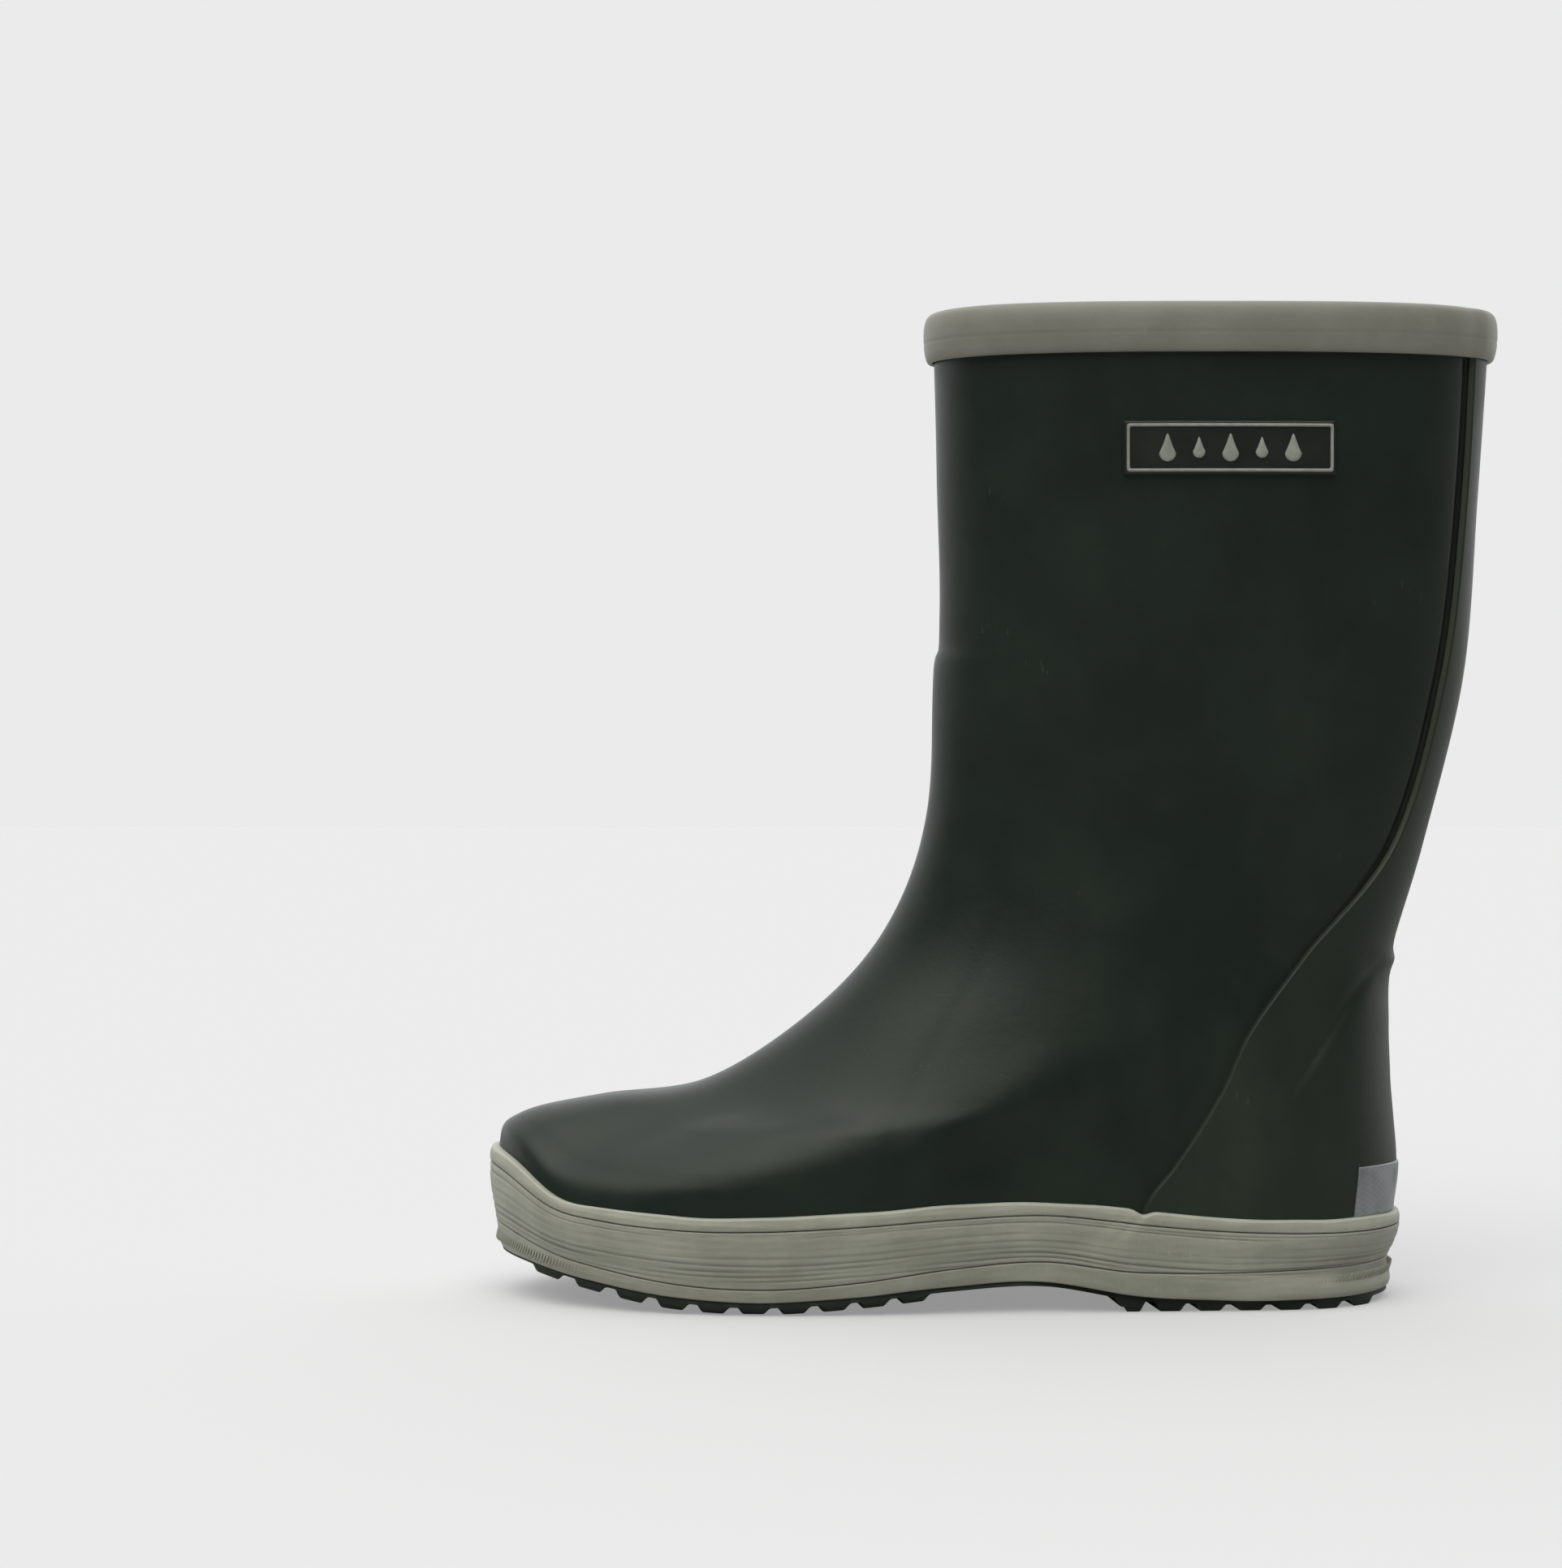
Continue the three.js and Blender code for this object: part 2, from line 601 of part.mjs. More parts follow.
const pieces = [
  ['outsole', outsole(), darkRubber],
  ['midsole_filler', midsoleFiller(), sponge],
  ['heel_wedge', heelWedge(), sponge],
  ['insole_board', insoleBoard(), board],
  ['insole_foam', insoleFoam(), foam],
  ['insole_cloth', insoleCloth(), cloth],
  ['lining', lining(), knit],
  ['toe_puff', toePuff(), stiff],
  ['heel_counter', heelCounter(), stiff],
  ['instep_reinforcement', instepReinforcement(), stiff],
  ['leg_and_vamp', legAndVamp(), greenRubber],
  ['back_stay', backStay(), greenRubber],
  ['reflective_patch', reflectivePatch(), tape],
  ['top_binding', topBinding(), greyRubber],
  ['foxing_lower_strip', foxingLowerStrip(), greyRubber],
  ['foxing_band', foxingBand(), greyRubber],
  ['foxing_top_stripe', foxingTopStripe(), greyRubber],
  ['badge_plate', badgePlate(), badgeRubber],
  ['badge_border', badgeBorder(), badgeRelief],
];
const DROPS = ['first', 'second', 'third', 'fourth', 'fifth'];
DROPS.forEach((name, i) => {
  const x = (i - 2) * 7.2;
  const height = i % 2 === 0 ? 6.4 : 4.8;
  pieces.push([`badge_drop_${name}`, badgeDrop(x, height), badgeRelief]);
});

const group = new THREE.Group();
group.name = 'rain_boot';
for (const [name, geometry, material] of pieces) {
  const mesh = new THREE.Mesh(geometry, material());
  mesh.name = name;
  group.add(mesh);
}

// The origin is at the middle of the bounding box, on the floor.
const bounds = new THREE.Box3().setFromObject(group);
const middle = bounds.getCenter(new THREE.Vector3());
for (const mesh of group.children) {
  mesh.geometry.translate(-middle.x, -middle.y, -bounds.min.z);
}

export default group;
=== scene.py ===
# %% [markdown]
# The boot's frame.
# The imported model is the fixed frame of this scene: it says where every piece of the boot is and which
# body it moves with. Everything below is in metres, with the toe towards -X, the outer side of the
# foot towards -Y and Z up the leg.

# %% Load the frame
import math

import bmesh
import bpy
import numpy as np
from mathutils import Matrix, Vector


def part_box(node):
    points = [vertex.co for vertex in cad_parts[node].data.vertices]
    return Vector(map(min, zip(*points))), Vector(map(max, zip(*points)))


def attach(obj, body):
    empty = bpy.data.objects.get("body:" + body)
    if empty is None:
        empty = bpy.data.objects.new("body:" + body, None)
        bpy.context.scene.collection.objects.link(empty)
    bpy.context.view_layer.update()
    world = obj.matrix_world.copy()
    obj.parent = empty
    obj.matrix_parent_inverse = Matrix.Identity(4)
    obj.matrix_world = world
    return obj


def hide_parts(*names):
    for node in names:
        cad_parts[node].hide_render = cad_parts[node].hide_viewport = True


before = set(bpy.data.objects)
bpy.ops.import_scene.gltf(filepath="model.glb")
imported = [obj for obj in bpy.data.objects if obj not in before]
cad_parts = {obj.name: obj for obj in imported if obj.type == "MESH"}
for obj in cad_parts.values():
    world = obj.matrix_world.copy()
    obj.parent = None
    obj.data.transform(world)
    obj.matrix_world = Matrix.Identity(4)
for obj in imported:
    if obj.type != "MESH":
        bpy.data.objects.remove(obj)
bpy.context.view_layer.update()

# %% [markdown]
# The last.
# A rubber boot is built up in sheets over an aluminium last, so every visible sheet repeats the same
# surface, a little further out each time. The surface is described by eleven levels from the sole edge
# to the rim. Each level is a ring with a front point, a back point and half widths between them, and
# smooth curves run through the levels. Working from one such surface keeps every layer snug on the
# next, which separately modelled shells never quite manage.

# %% Levels of the last
MM = 0.001
LEVELS = [
    # front (x, z), back (x, z), half widths toe to heel, front edge of the stay
    ((-116.2, 10.6), (90.3, 2.7), (51, 44.4, 37.4, 31.9, 35.2, 50), 0.685),
    ((-117.6, 34.2), (91.8, 20.6), (52, 45.4, 38.3, 32.7, 36, 51), 0.712),
    ((-112.7, 41.4), (93, 31), (41, 43.8, 37.3, 31.8, 35.2, 49), 0.734),
    ((-93.5, 46), (92.3, 42), (35, 39.2, 35.2, 30.7, 34.2, 47), 0.745),
    ((-68.5, 50), (91.2, 52), (31, 34, 32.6, 29.4, 32.8, 44), 0.744),
    ((-43.9, 65.8), (90.7, 64), (28, 29.2, 28.1, 27.6, 30.6, 39), 0.749),
    ((-26.5, 85.2), (91.7, 80), (26, 25, 24.8, 25.3, 27.5, 34), 0.814),
    ((-16.5, 111.7), (99.6, 107), (26, 24, 22.8, 23.3, 25.6, 31), 0.93),
    ((-14.3, 146), (109, 146), (29, 25.6, 23.5, 23.5, 25.6, 30), 0.951),
    ((-14, 188), (112.4, 188), (31, 26.9, 24.5, 24.5, 26.9, 31), 0.966),
    ((-15, 230), (115.1, 230), (32, 27.9, 25.3, 25.3, 27.9, 32), 0.961),
]
RIM = len(LEVELS) - 1
MEDIAL_TRIM = (0, 1.2, -1.5, -3.5, -1, 0)
TOE_SWING = 4.5
FOXING_FOOT = (10.8, 6.8, 3.6, 2.8, 4.1, 6.2, 7, 3.6, 2.4, 2.3, 2.7)
FOXING_TOP = (34.8, 24.8, 22.4, 22.4, 23.4, 24.8, 25.4, 23.5, 21.5, 20.7, 20.6)
SOLE_START, SOLE_LENGTH = -117, 210
TOE_DIP, TOE_DIP_X, TOE_DIP_WIDTH = 2, -104, 8


def span(p0, p1, p2, p3, t):
    """Smooth curve from p1 to p2 as t goes from 0 to 1, with p0 and p3 as its neighbours."""
    v0, v1 = (p2 - p0) / 2, (p3 - p1) / 2
    cubic = 2 * p1 - 2 * p2 + v0 + v1
    square = -3 * p1 + 3 * p2 - 2 * v0 - v1
    return cubic * t ** 3 + square * t ** 2 + v0 * t + p1


def through(values, step):
    """Smooth curve through values at equal steps, read at an array of step numbers."""
    values = np.asarray(values, float)
    last = len(values) - 1
    step = np.clip(np.asarray(step, float), 0, last)
    i = np.minimum(step.astype(int), last)
    around = [values[np.clip(i + k, 0, last)] for k in (-1, 0, 1, 2)]
    return span(*around, step - i)


def smooth(value, low, high):
    t = np.clip((np.asarray(value, float) - low) / (high - low), 0, 1)
    return t * t * (3 - 2 * t)


def sole_z(x):
    return through(FOXING_FOOT, (x - SOLE_START) / SOLE_LENGTH * 10)


def foxing_top_z(x):
    toe_dip = TOE_DIP * np.exp(-((x - TOE_DIP_X) / TOE_DIP_WIDTH) ** 2)
    return through(FOXING_TOP, (x - SOLE_START) / SOLE_LENGTH * 10) - toe_dip


print("levels", len(LEVELS))

# %% [markdown]
# Points of the last.
# turn goes round the boot: 0 at the toe, pi at the heel by the outer side and on round by the inner
# side. level goes up it. Working on whole arrays of points at once keeps the fine grids quick. The
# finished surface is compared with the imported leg, so a slip in the numbers would show at once.

# %% Surface of the last, in millimetres
FRONT_X, FRONT_Z = ([level[0][axis] for level in LEVELS] for axis in (0, 1))
BACK_X, BACK_Z = ([level[1][axis] for level in LEVELS] for axis in (0, 1))
STAY_EDGE = [level[3] for level in LEVELS]
WIDTHS = np.array([level[2] for level in LEVELS], float)
TURN_STEP, LEVEL_STEP = 0.02, 0.04  # how far apart the points are that give the surface's slope


def half_width(along, level):
    """Half the last's width, a share along of the way from toe to heel, at a level."""
    table = np.array([through(row, along * 5) for row in WIDTHS])
    level = np.clip(level, 0, RIM)
    i = np.minimum(level.astype(int), RIM)
    around = [np.take_along_axis(table, np.clip(i + k, 0, RIM)[None], 0)[0] for k in (-1, 0, 1, 2)]
    return span(*around, level - i)


def last_point(turn, level):
    turn, level = np.broadcast_arrays(np.asarray(turn, float), np.asarray(level, float))
    along = (1 - np.cos(turn)) / 2
    front_x, back_x = through(FRONT_X, level), through(BACK_X, level)
    x = front_x + (back_x - front_x) * along
    on_foot = 1 - smooth(level, 2, 6.5)
    half = half_width(along, level)
    half = half + np.where(np.sin(turn) < 0, through(MEDIAL_TRIM, along * 5) * on_foot, 0)
    swing = TOE_SWING * np.maximum(0, 1 - along / 0.6) ** 2 * (1 - smooth(level, 1, 5))
    y = -np.sin(turn) * half + swing
    low = sole_z(x) + (foxing_top_z(x) - sole_z(x)) * level
    chord_x = FRONT_X[1] + (BACK_X[1] - FRONT_X[1]) * along
    chord_z = FRONT_Z[1] + (BACK_Z[1] - FRONT_Z[1]) * along
    front_z, back_z = through(FRONT_Z, level), through(BACK_Z, level)
    follow = 1 - smooth(level, 1, 6)
    high = front_z + (back_z - front_z) * along + follow * (foxing_top_z(chord_x) - chord_z)
    return np.stack([x, y, np.where(level <= 1, low, high)], -1)


def skin(turn, level, offset=0.0):
    """Points of the last moved out along its normal by offset, all in millimetres."""
    turn, level, offset = np.broadcast_arrays(*(np.asarray(v, float) for v in (turn, level, offset)))
    point = last_point(turn, level)
    around = last_point(turn + TURN_STEP, level) - last_point(turn - TURN_STEP, level)
    above = last_point(turn, np.minimum(level + LEVEL_STEP, RIM))
    up = above - last_point(turn, np.maximum(level - LEVEL_STEP, 0))
    normal = np.cross(around, up)
    normal /= np.linalg.norm(normal, axis=-1, keepdims=True)
    return point + normal * offset[..., None]


def stay_edge(level):
    return through(STAY_EDGE, level)


def turn_at(along):
    return np.arccos(np.clip(1 - 2 * np.asarray(along, float), -1, 1))


STATIONS = 38
check = skin(np.linspace(0, 2 * np.pi, STATIONS + 1)[None, :-1], np.array([0.4, 1, 2, 3, 5, 7, 9])[:, None])
packed = np.array([list(corner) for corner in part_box("leg_and_vamp")]) * 1000
SHIFT = np.array([packed[0][0] - check[..., 0].min(), packed[0][1] - check[..., 1].min(), 0.0])
print("leg front and outer side against the packed leg, mm", np.round(SHIFT, 3))

# %% [markdown]
# Sheets as meshes.
# Each sheet of the boot is a grid of points outside and a grid inside, joined round its edges into a
# closed skin. Writing the grids straight into a mesh gives control over every millimetre of an edge
# and a UV map that follows the sheet, which a subdivided box or a shrinkwrapped plane would not.

# %% Build a mesh from two grids
SHARP_ANGLE = math.radians(52)


def quads(rows, cols, wrapped, start=0):
    steps = cols if wrapped else cols - 1
    r, c = np.meshgrid(np.arange(rows - 1), np.arange(steps), indexing="ij")
    nxt = (c + 1) % cols
    this_row, next_row = r * cols, (r + 1) * cols
    corners = [this_row + c, this_row + nxt, next_row + nxt, next_row + c]
    return np.stack(corners, -1).reshape(-1, 4) + start


def grid_uv(points, wrapped):
    """Distances round and up a grid in metres, one more column than the grid where it wraps."""
    full = np.concatenate([points, points[:, :1]], 1) if wrapped else points
    round_it = np.cumsum(np.linalg.norm(np.diff(full, axis=1), axis=-1), 1).mean(0)
    up_it = np.cumsum(np.linalg.norm(np.diff(full, axis=0), axis=-1), 0).mean(1)
    return np.concatenate([[0], round_it]) * MM, np.concatenate([[0], up_it]) * MM


def enclosed_volume(mesh):
    """Volume in cubic metres, negative where the faces point inwards."""
    work = bmesh.new()
    work.from_mesh(mesh)
    volume = work.calc_volume(signed=True)
    work.free()
    return volume


def build_mesh(name, points, faces, corner_uv=None, masks=None):
    mesh = bpy.data.meshes.new(name)
    mesh.from_pydata((points * MM + SHIFT * MM).tolist(), [], list(faces))
    mesh.update()
    if corner_uv is not None:
        layer = mesh.uv_layers.new(name="UVMap")
        layer.data.foreach_set("uv", corner_uv.astype(np.float32).ravel())
    for label, values in (masks or {}).items():
        attribute = mesh.attributes.new(label, "FLOAT", "POINT")
        attribute.data.foreach_set("value", np.asarray(values, np.float32).ravel())
    if enclosed_volume(mesh) < 0:
        mesh.flip_normals()
    mesh.shade_smooth()
    mesh.set_sharp_from_angle(angle=SHARP_ANGLE)
    piece = bpy.data.objects.new(name, mesh)
    bpy.context.scene.collection.objects.link(piece)
    return piece


def sheet(name, outer, inner, wrapped, masks=None):
    """Closed sheet from an outer and an inner grid with the same columns."""
    rows, cols = outer.shape[:2]
    inner_rows = inner.shape[0]
    start = rows * cols
    points = np.concatenate([outer.reshape(-1, 3), inner.reshape(-1, 3)])
    steps = cols if wrapped else cols - 1
    c = np.arange(steps)
    nxt = (c + 1) % cols
    top, inner_top = (rows - 1) * cols, start + (inner_rows - 1) * cols
    parts = [
        quads(rows, cols, wrapped),
        quads(inner_rows, cols, wrapped, start)[:, ::-1],
        np.stack([nxt, c, start + c, start + nxt], -1),
        np.stack([top + c, top + nxt, inner_top + nxt, inner_top + c], -1),
    ]
    if not wrapped:
        r = np.arange(rows - 1) * cols
        last = r + cols - 1
        parts.append(np.stack([r, r + cols, start + r + cols, start + r], -1))
        parts.append(np.stack([last + cols, last, start + last, start + last + cols], -1))
    faces = np.concatenate(parts)
    u, v = grid_uv(outer, wrapped)
    inner_row_of = np.repeat(np.arange(inner_rows), cols) * rows // inner_rows
    row_of = np.concatenate([np.repeat(np.arange(rows), cols), inner_row_of])
    col_of = np.concatenate([np.tile(np.arange(cols), rows), np.tile(np.arange(cols), inner_rows)])
    cc = col_of[faces]
    if wrapped:
        spread = cc.max(1, keepdims=True) - cc.min(1, keepdims=True) > cols // 2
        cc = np.where(spread & (cc == 0), cols, cc)
    uv = np.stack([u[cc], v[np.clip(row_of[faces], 0, rows - 1)]], -1)
    if masks:
        masks = {k: np.concatenate([m.reshape(-1), np.zeros(inner_rows * cols)]) for k, m in masks.items()}
    return build_mesh(name, points, faces, uv, masks)


def swept(name, rings, masks=None):
    """A closed section swept round the boot: rings is (section points, stations, 3)."""
    rows, cols = rings.shape[:2]
    loop = np.concatenate([rings, rings[:1]])
    faces = quads(rows + 1, cols, True) % (rows * cols)
    u, v = grid_uv(loop, True)
    r, c = np.meshgrid(np.arange(rows), np.arange(cols), indexing="ij")
    r, c = r.reshape(-1, 1), c.reshape(-1, 1)
    uv = np.stack([u[c + np.array([[0, 1, 1, 0]])], v[r + np.array([[0, 0, 1, 1]])]], -1)
    return build_mesh(name, rings.reshape(-1, 3), faces, uv, masks)


def finish(piece, material, slot, body, *nodes):
    piece.data.materials.clear()
    piece.data.materials.append(material)
    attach(piece, body)
    if nodes:
        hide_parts(*nodes)
    print(piece.name, len(piece.data.polygons), "faces")
    return piece


# %% [markdown]
# Hand-made unevenness.
# The sheets are cut and rolled on by hand, so no edge is dead straight and no face is dead flat. A sum
# of a few slow waves gives that gentle unevenness in the shape itself, the same on every run, where a
# noise texture alone would leave the outline of the boot perfectly regular.

# %% Slow waves
WAVE_COUNT = 6


def waves(x, y, z, size, seed=0):
    """Sum of slow waves at points in millimetres, each about size long, between -1 and 1."""
    rng = np.random.default_rng(seed)
    total = 0
    for _ in range(WAVE_COUNT):
        direction = rng.normal(size=3)
        direction /= np.linalg.norm(direction)
        pitch = size * rng.uniform(0.7, 1.6)
        phase = rng.uniform(0, 2 * np.pi)
        distance = x * direction[0] + y * direction[1] + z * direction[2]
        total = total + np.sin(distance * 2 * np.pi / pitch + phase)
    return total / WAVE_COUNT


def edge_distance(points):
    """Distance of each point of a grid from its first and last column, and from its first and last row."""
    across = np.cumsum(np.linalg.norm(np.diff(points, axis=1), axis=-1), 1)
    across = np.concatenate([np.zeros((len(points), 1)), across], 1)
    up = np.cumsum(np.linalg.norm(np.diff(points, axis=0), axis=-1), 0)
    up = np.concatenate([np.zeros((1, points.shape[1])), up], 0)
    return np.minimum(across, across[:, -1:] - across), np.minimum(up, up[-1:] - up)


def rounded(distance, radius):
    """Height of a quarter round, 0 at the edge and 1 from radius on."""
    t = np.clip(distance / radius, 0, 1)
    return np.sqrt(1 - (1 - t) ** 2)


def path_distance(x, z, path):
    """Distance from points to a smooth path through (x, z) pairs, and the x of the path at each z."""
    path = np.asarray(path, float)
    steps = np.linspace(0, len(path) - 1, 260)
    px, pz = through(path[:, 0], steps), through(path[:, 1], steps)
    flat_x, flat_z = np.ravel(x), np.ravel(z)
    near = np.full(flat_x.shape, 1e9)
    for k in range(len(px)):
        near = np.minimum(near, (flat_x - px[k]) ** 2 + (flat_z - pz[k]) ** 2)
    order = np.argsort(pz)
    at = np.interp(flat_z, pz[order], px[order])
    return np.sqrt(near).reshape(np.shape(x)), at.reshape(np.shape(x))

# %% [markdown]
# Node helpers.
# Materials here are small node trees, and the same three or four steps come back in each: place a
# node, link or set its inputs, mix two values. Two short helpers keep each material readable, which
# clicking the same trees together by hand for a dozen finishes would not.

# %% Place and link nodes
def add(tree, kind, inputs=None, **settings):
    new = tree.nodes.new(kind)
    for label, value in settings.items():
        setattr(new, label, value)
    for socket, value in (inputs or {}).items():
        if isinstance(value, bpy.types.NodeSocket):
            tree.links.new(value, new.inputs[socket])
        else:
            new.inputs[socket].default_value = value
    return new


def math_node(tree, operation, a, b=0.0, clamp=False):
    return add(tree, "ShaderNodeMath", {0: a, 1: b}, operation=operation, use_clamp=clamp).outputs[0]


def blend_colours(tree, factor, a, b, how="MIX"):
    mixed = add(tree, "ShaderNodeMix", {0: factor, 6: a, 7: b}, data_type="RGBA", blend_type=how)
    return mixed.outputs[2]


def between(tree, value, low, high):
    spread = add(tree, "ShaderNodeMapRange", {0: value, 1: low, 2: high}, interpolation_type="SMOOTHSTEP")
    return spread.outputs[0]


def noise(tree, coordinate, scale, detail=2.0, roughness=0.5):
    inputs = {"Vector": coordinate, "Scale": scale, "Detail": detail, "Roughness": roughness}
    return add(tree, "ShaderNodeTexNoise", inputs).outputs[0]


def new_group(name, inputs, outputs):
    tree = bpy.data.node_groups.new(name, "ShaderNodeTree")
    for label, (kind, value) in inputs.items():
        socket = tree.interface.new_socket(name=label, in_out="INPUT", socket_type=kind)
        socket.default_value = value
    for label, kind in outputs.items():
        tree.interface.new_socket(name=label, in_out="OUTPUT", socket_type=kind)
    return tree, tree.nodes.new("NodeGroupInput").outputs, tree.nodes.new("NodeGroupOutput").inputs


FLOAT, COLOUR = "NodeSocketFloat", "NodeSocketColor"

# %% [markdown]
# Rubber skin.
# Calendered natural rubber is never one colour: it is slightly mottled, carries a fine grain, gathers
# a pale bloom and picks up short scuffs where it is touched most. The same effect is wanted on the
# green sheet, the grey tape and the dark sole with other values, so it is one group with named inputs.

# %% Shader group: rubber skin
def rubber_skin_group():
    tree, given, out = new_group(
        "rubber_skin",
        {
            "Colour": (COLOUR, (0.02, 0.03, 0.02, 1)), "Mottled Colour": (COLOUR, (0.03, 0.04, 0.03, 1)),
            "Wear Colour": (COLOUR, (0.1, 0.1, 0.1, 1)), "Mottle Size": (FLOAT, 0.03),
            "Bloom": (FLOAT, 0.3), "Scuffs": (FLOAT, 0.5), "Shine": (FLOAT, 0.4), "Grain": (FLOAT, 0.5),
        },
        {"Colour": COLOUR, "Roughness": FLOAT, "Height": FLOAT},
    )
    place = add(tree, "ShaderNodeTexCoord").outputs["Object"]
    per_metre = math_node(tree, "DIVIDE", 1.0, given["Mottle Size"])
    mottle = between(tree, noise(tree, place, per_metre, 4.0, 0.6), 0.35, 0.68)
    colour = blend_colours(tree, mottle, given["Colour"], given["Mottled Colour"])

    # Bloom: broad pale patches of dust and wax with soft, streaky edges.
    drawn = add(tree, "ShaderNodeMapping", {"Vector": place, "Scale": (1.0, 1.0, 0.45)}).outputs[0]
    patches = between(tree, noise(tree, drawn, 26.0, 7.0, 0.62), 0.48, 0.78)
    bloom = math_node(tree, "MULTIPLY", patches, given["Bloom"])
    colour = blend_colours(tree, bloom, colour, given["Wear Colour"])

    # Scuffs: short fine scratches, only inside a few rubbed places.
    drawn_out = {"Vector": place, "Rotation": (0.2, 0.5, 0.3), "Scale": (1, 1, 0.16)}
    stretched = add(tree, "ShaderNodeMapping", drawn_out)
    lines = between(tree, noise(tree, stretched.outputs[0], 1500.0, 2.0), 0.66, 0.74)
    rubbed = between(tree, noise(tree, place, 34.0, 3.0), 0.60, 0.70)
    scuff = math_node(tree, "MULTIPLY", lines, rubbed)
    scuff = math_node(tree, "MULTIPLY", scuff, given["Scuffs"], clamp=True)
    colour = blend_colours(tree, scuff, colour, given["Wear Colour"])

    # Cut edges are paler, partly as worn cut rubber and partly as a painted highlight on their rounding;
    # grooves get painted shade.
    # The edge mask paints a highlight as well as wear, so the wear colour is also the painted highlight
    # colour.
    edge = add(tree, "ShaderNodeAttribute", attribute_name="edge").outputs["Fac"]
    colour = blend_colours(tree, edge, colour, given["Wear Colour"])
    # Painted shade: this mask darkens grooves and seams towards near-black, as shade in a recess.
    groove_shade = add(tree, "ShaderNodeAttribute", attribute_name="groove_shade").outputs["Fac"]
    colour = blend_colours(tree, math_node(tree, "MULTIPLY", groove_shade, 0.6), colour, (0.012, 0.011, 0.009, 1))

    rough = math_node(tree, "MULTIPLY_ADD", mottle, 0.07)
    tree.nodes[-1].inputs[2].default_value = 0.0
    rough = math_node(tree, "ADD", rough, given["Shine"])
    rough = math_node(tree, "ADD", rough, math_node(tree, "MULTIPLY", bloom, 0.3))
    rough = math_node(tree, "ADD", rough, math_node(tree, "MULTIPLY", scuff, 0.25), clamp=True)

    fine = noise(tree, place, 1900.0, 3.0, 0.65)
    coarse = noise(tree, place, 420.0, 2.0)
    height = math_node(tree, "ADD", math_node(tree, "MULTIPLY", fine, given["Grain"]), coarse)
    height = math_node(tree, "SUBTRACT", height, math_node(tree, "MULTIPLY", scuff, 1.5))
    for label, value in {"Colour": colour, "Roughness": rough, "Height": height}.items():
        tree.links.new(value, out[label])
    return tree


RUBBER_SKIN = rubber_skin_group()


def new_material(name):
    material = bpy.data.materials.new(name)
    material.use_nodes = True
    tree = material.node_tree
    return material, tree, tree.nodes["Principled BSDF"]


def set_bump(tree, surface, height, depth, strength):
    """Let a height value tilt a surface's normals, depth being the height's size in metres."""
    bump = add(tree, "ShaderNodeBump", {"Height": height, "Distance": depth, "Strength": strength})
    tree.links.new(bump.outputs[0], surface.inputs["Normal"])


def rubber(name, grain_depth=0.00006, specular=0.5, **values):
    material, tree, surface = new_material(name)
    skin_node = tree.nodes.new("ShaderNodeGroup")
    skin_node.node_tree = RUBBER_SKIN
    for label, value in values.items():
        skin_node.inputs[label.replace("_", " ")].default_value = value
    tree.links.new(skin_node.outputs["Colour"], surface.inputs["Base Color"])
    tree.links.new(skin_node.outputs["Roughness"], surface.inputs["Roughness"])
    set_bump(tree, surface, skin_node.outputs["Height"], grain_depth, 0.6)
    surface.inputs["Specular IOR Level"].default_value = specular
    return material


# %% [markdown]
# Rubber finishes.
# The green sheet is satin, and the back stay has a paler copy of it as a painted sheen. The grey tape is
# drier and warmer, the binding has a darker copy of it as painted shade, and the sole is a dark dull green
# that has picked up dust. The badge is a smooth black strip with raised parts in grey.

# %% Rubber materials
green_rubber = rubber(
    "green_rubber", specular=0.38,
    Colour=(0.0070, 0.0140, 0.0110, 1), Mottled_Colour=(0.0105, 0.0190, 0.0125, 1),
    Wear_Colour=(0.10, 0.115, 0.085, 1), Mottle_Size=0.03, Bloom=0.08, Scuffs=0.45, Shine=0.40, Grain=0.5,
)
# Painted sheen: a paler copy of the green rubber, for the light the back stay catches.
green_rubber_lit_copy = rubber(
    "green_rubber_lit_copy", specular=0.34,
    Colour=(0.0165, 0.0245, 0.0180, 1), Mottled_Colour=(0.0210, 0.0300, 0.0205, 1),
    Wear_Colour=(0.10, 0.115, 0.085, 1), Mottle_Size=0.03, Bloom=0.12, Scuffs=0.45, Shine=0.42, Grain=0.5,
)
# Painted shade: a darker copy of the grey tape rubber, for the shade the binding gets from the dark side of
# the room.
grey_rubber_shaded_copy = rubber(
    "grey_rubber_shaded_copy", grain_depth=0.00008, specular=0.4, Colour=(0.255, 0.25, 0.222, 1),
    Mottled_Colour=(0.285, 0.28, 0.25, 1), Wear_Colour=(0.40, 0.395, 0.36, 1), Mottle_Size=0.012, Bloom=0.25,
    Scuffs=0.5, Shine=0.42, Grain=0.5,
)
grey_rubber = rubber(
    "grey_rubber", grain_depth=0.0001, specular=0.4, Colour=(0.385, 0.382, 0.332, 1),
    Mottled_Colour=(0.448, 0.445, 0.395, 1), Wear_Colour=(0.60, 0.595, 0.54, 1),
    Mottle_Size=0.011, Bloom=0.35, Scuffs=0.7, Shine=0.48, Grain=0.7,
)
sole_rubber = rubber(
    "sole_rubber", grain_depth=0.00015,
    Colour=(0.010, 0.014, 0.012, 1), Mottled_Colour=(0.018, 0.024, 0.02, 1),
    Wear_Colour=(0.13, 0.125, 0.11, 1), Mottle_Size=0.008, Bloom=0.5, Scuffs=0.9, Shine=0.55, Grain=1.0,
)
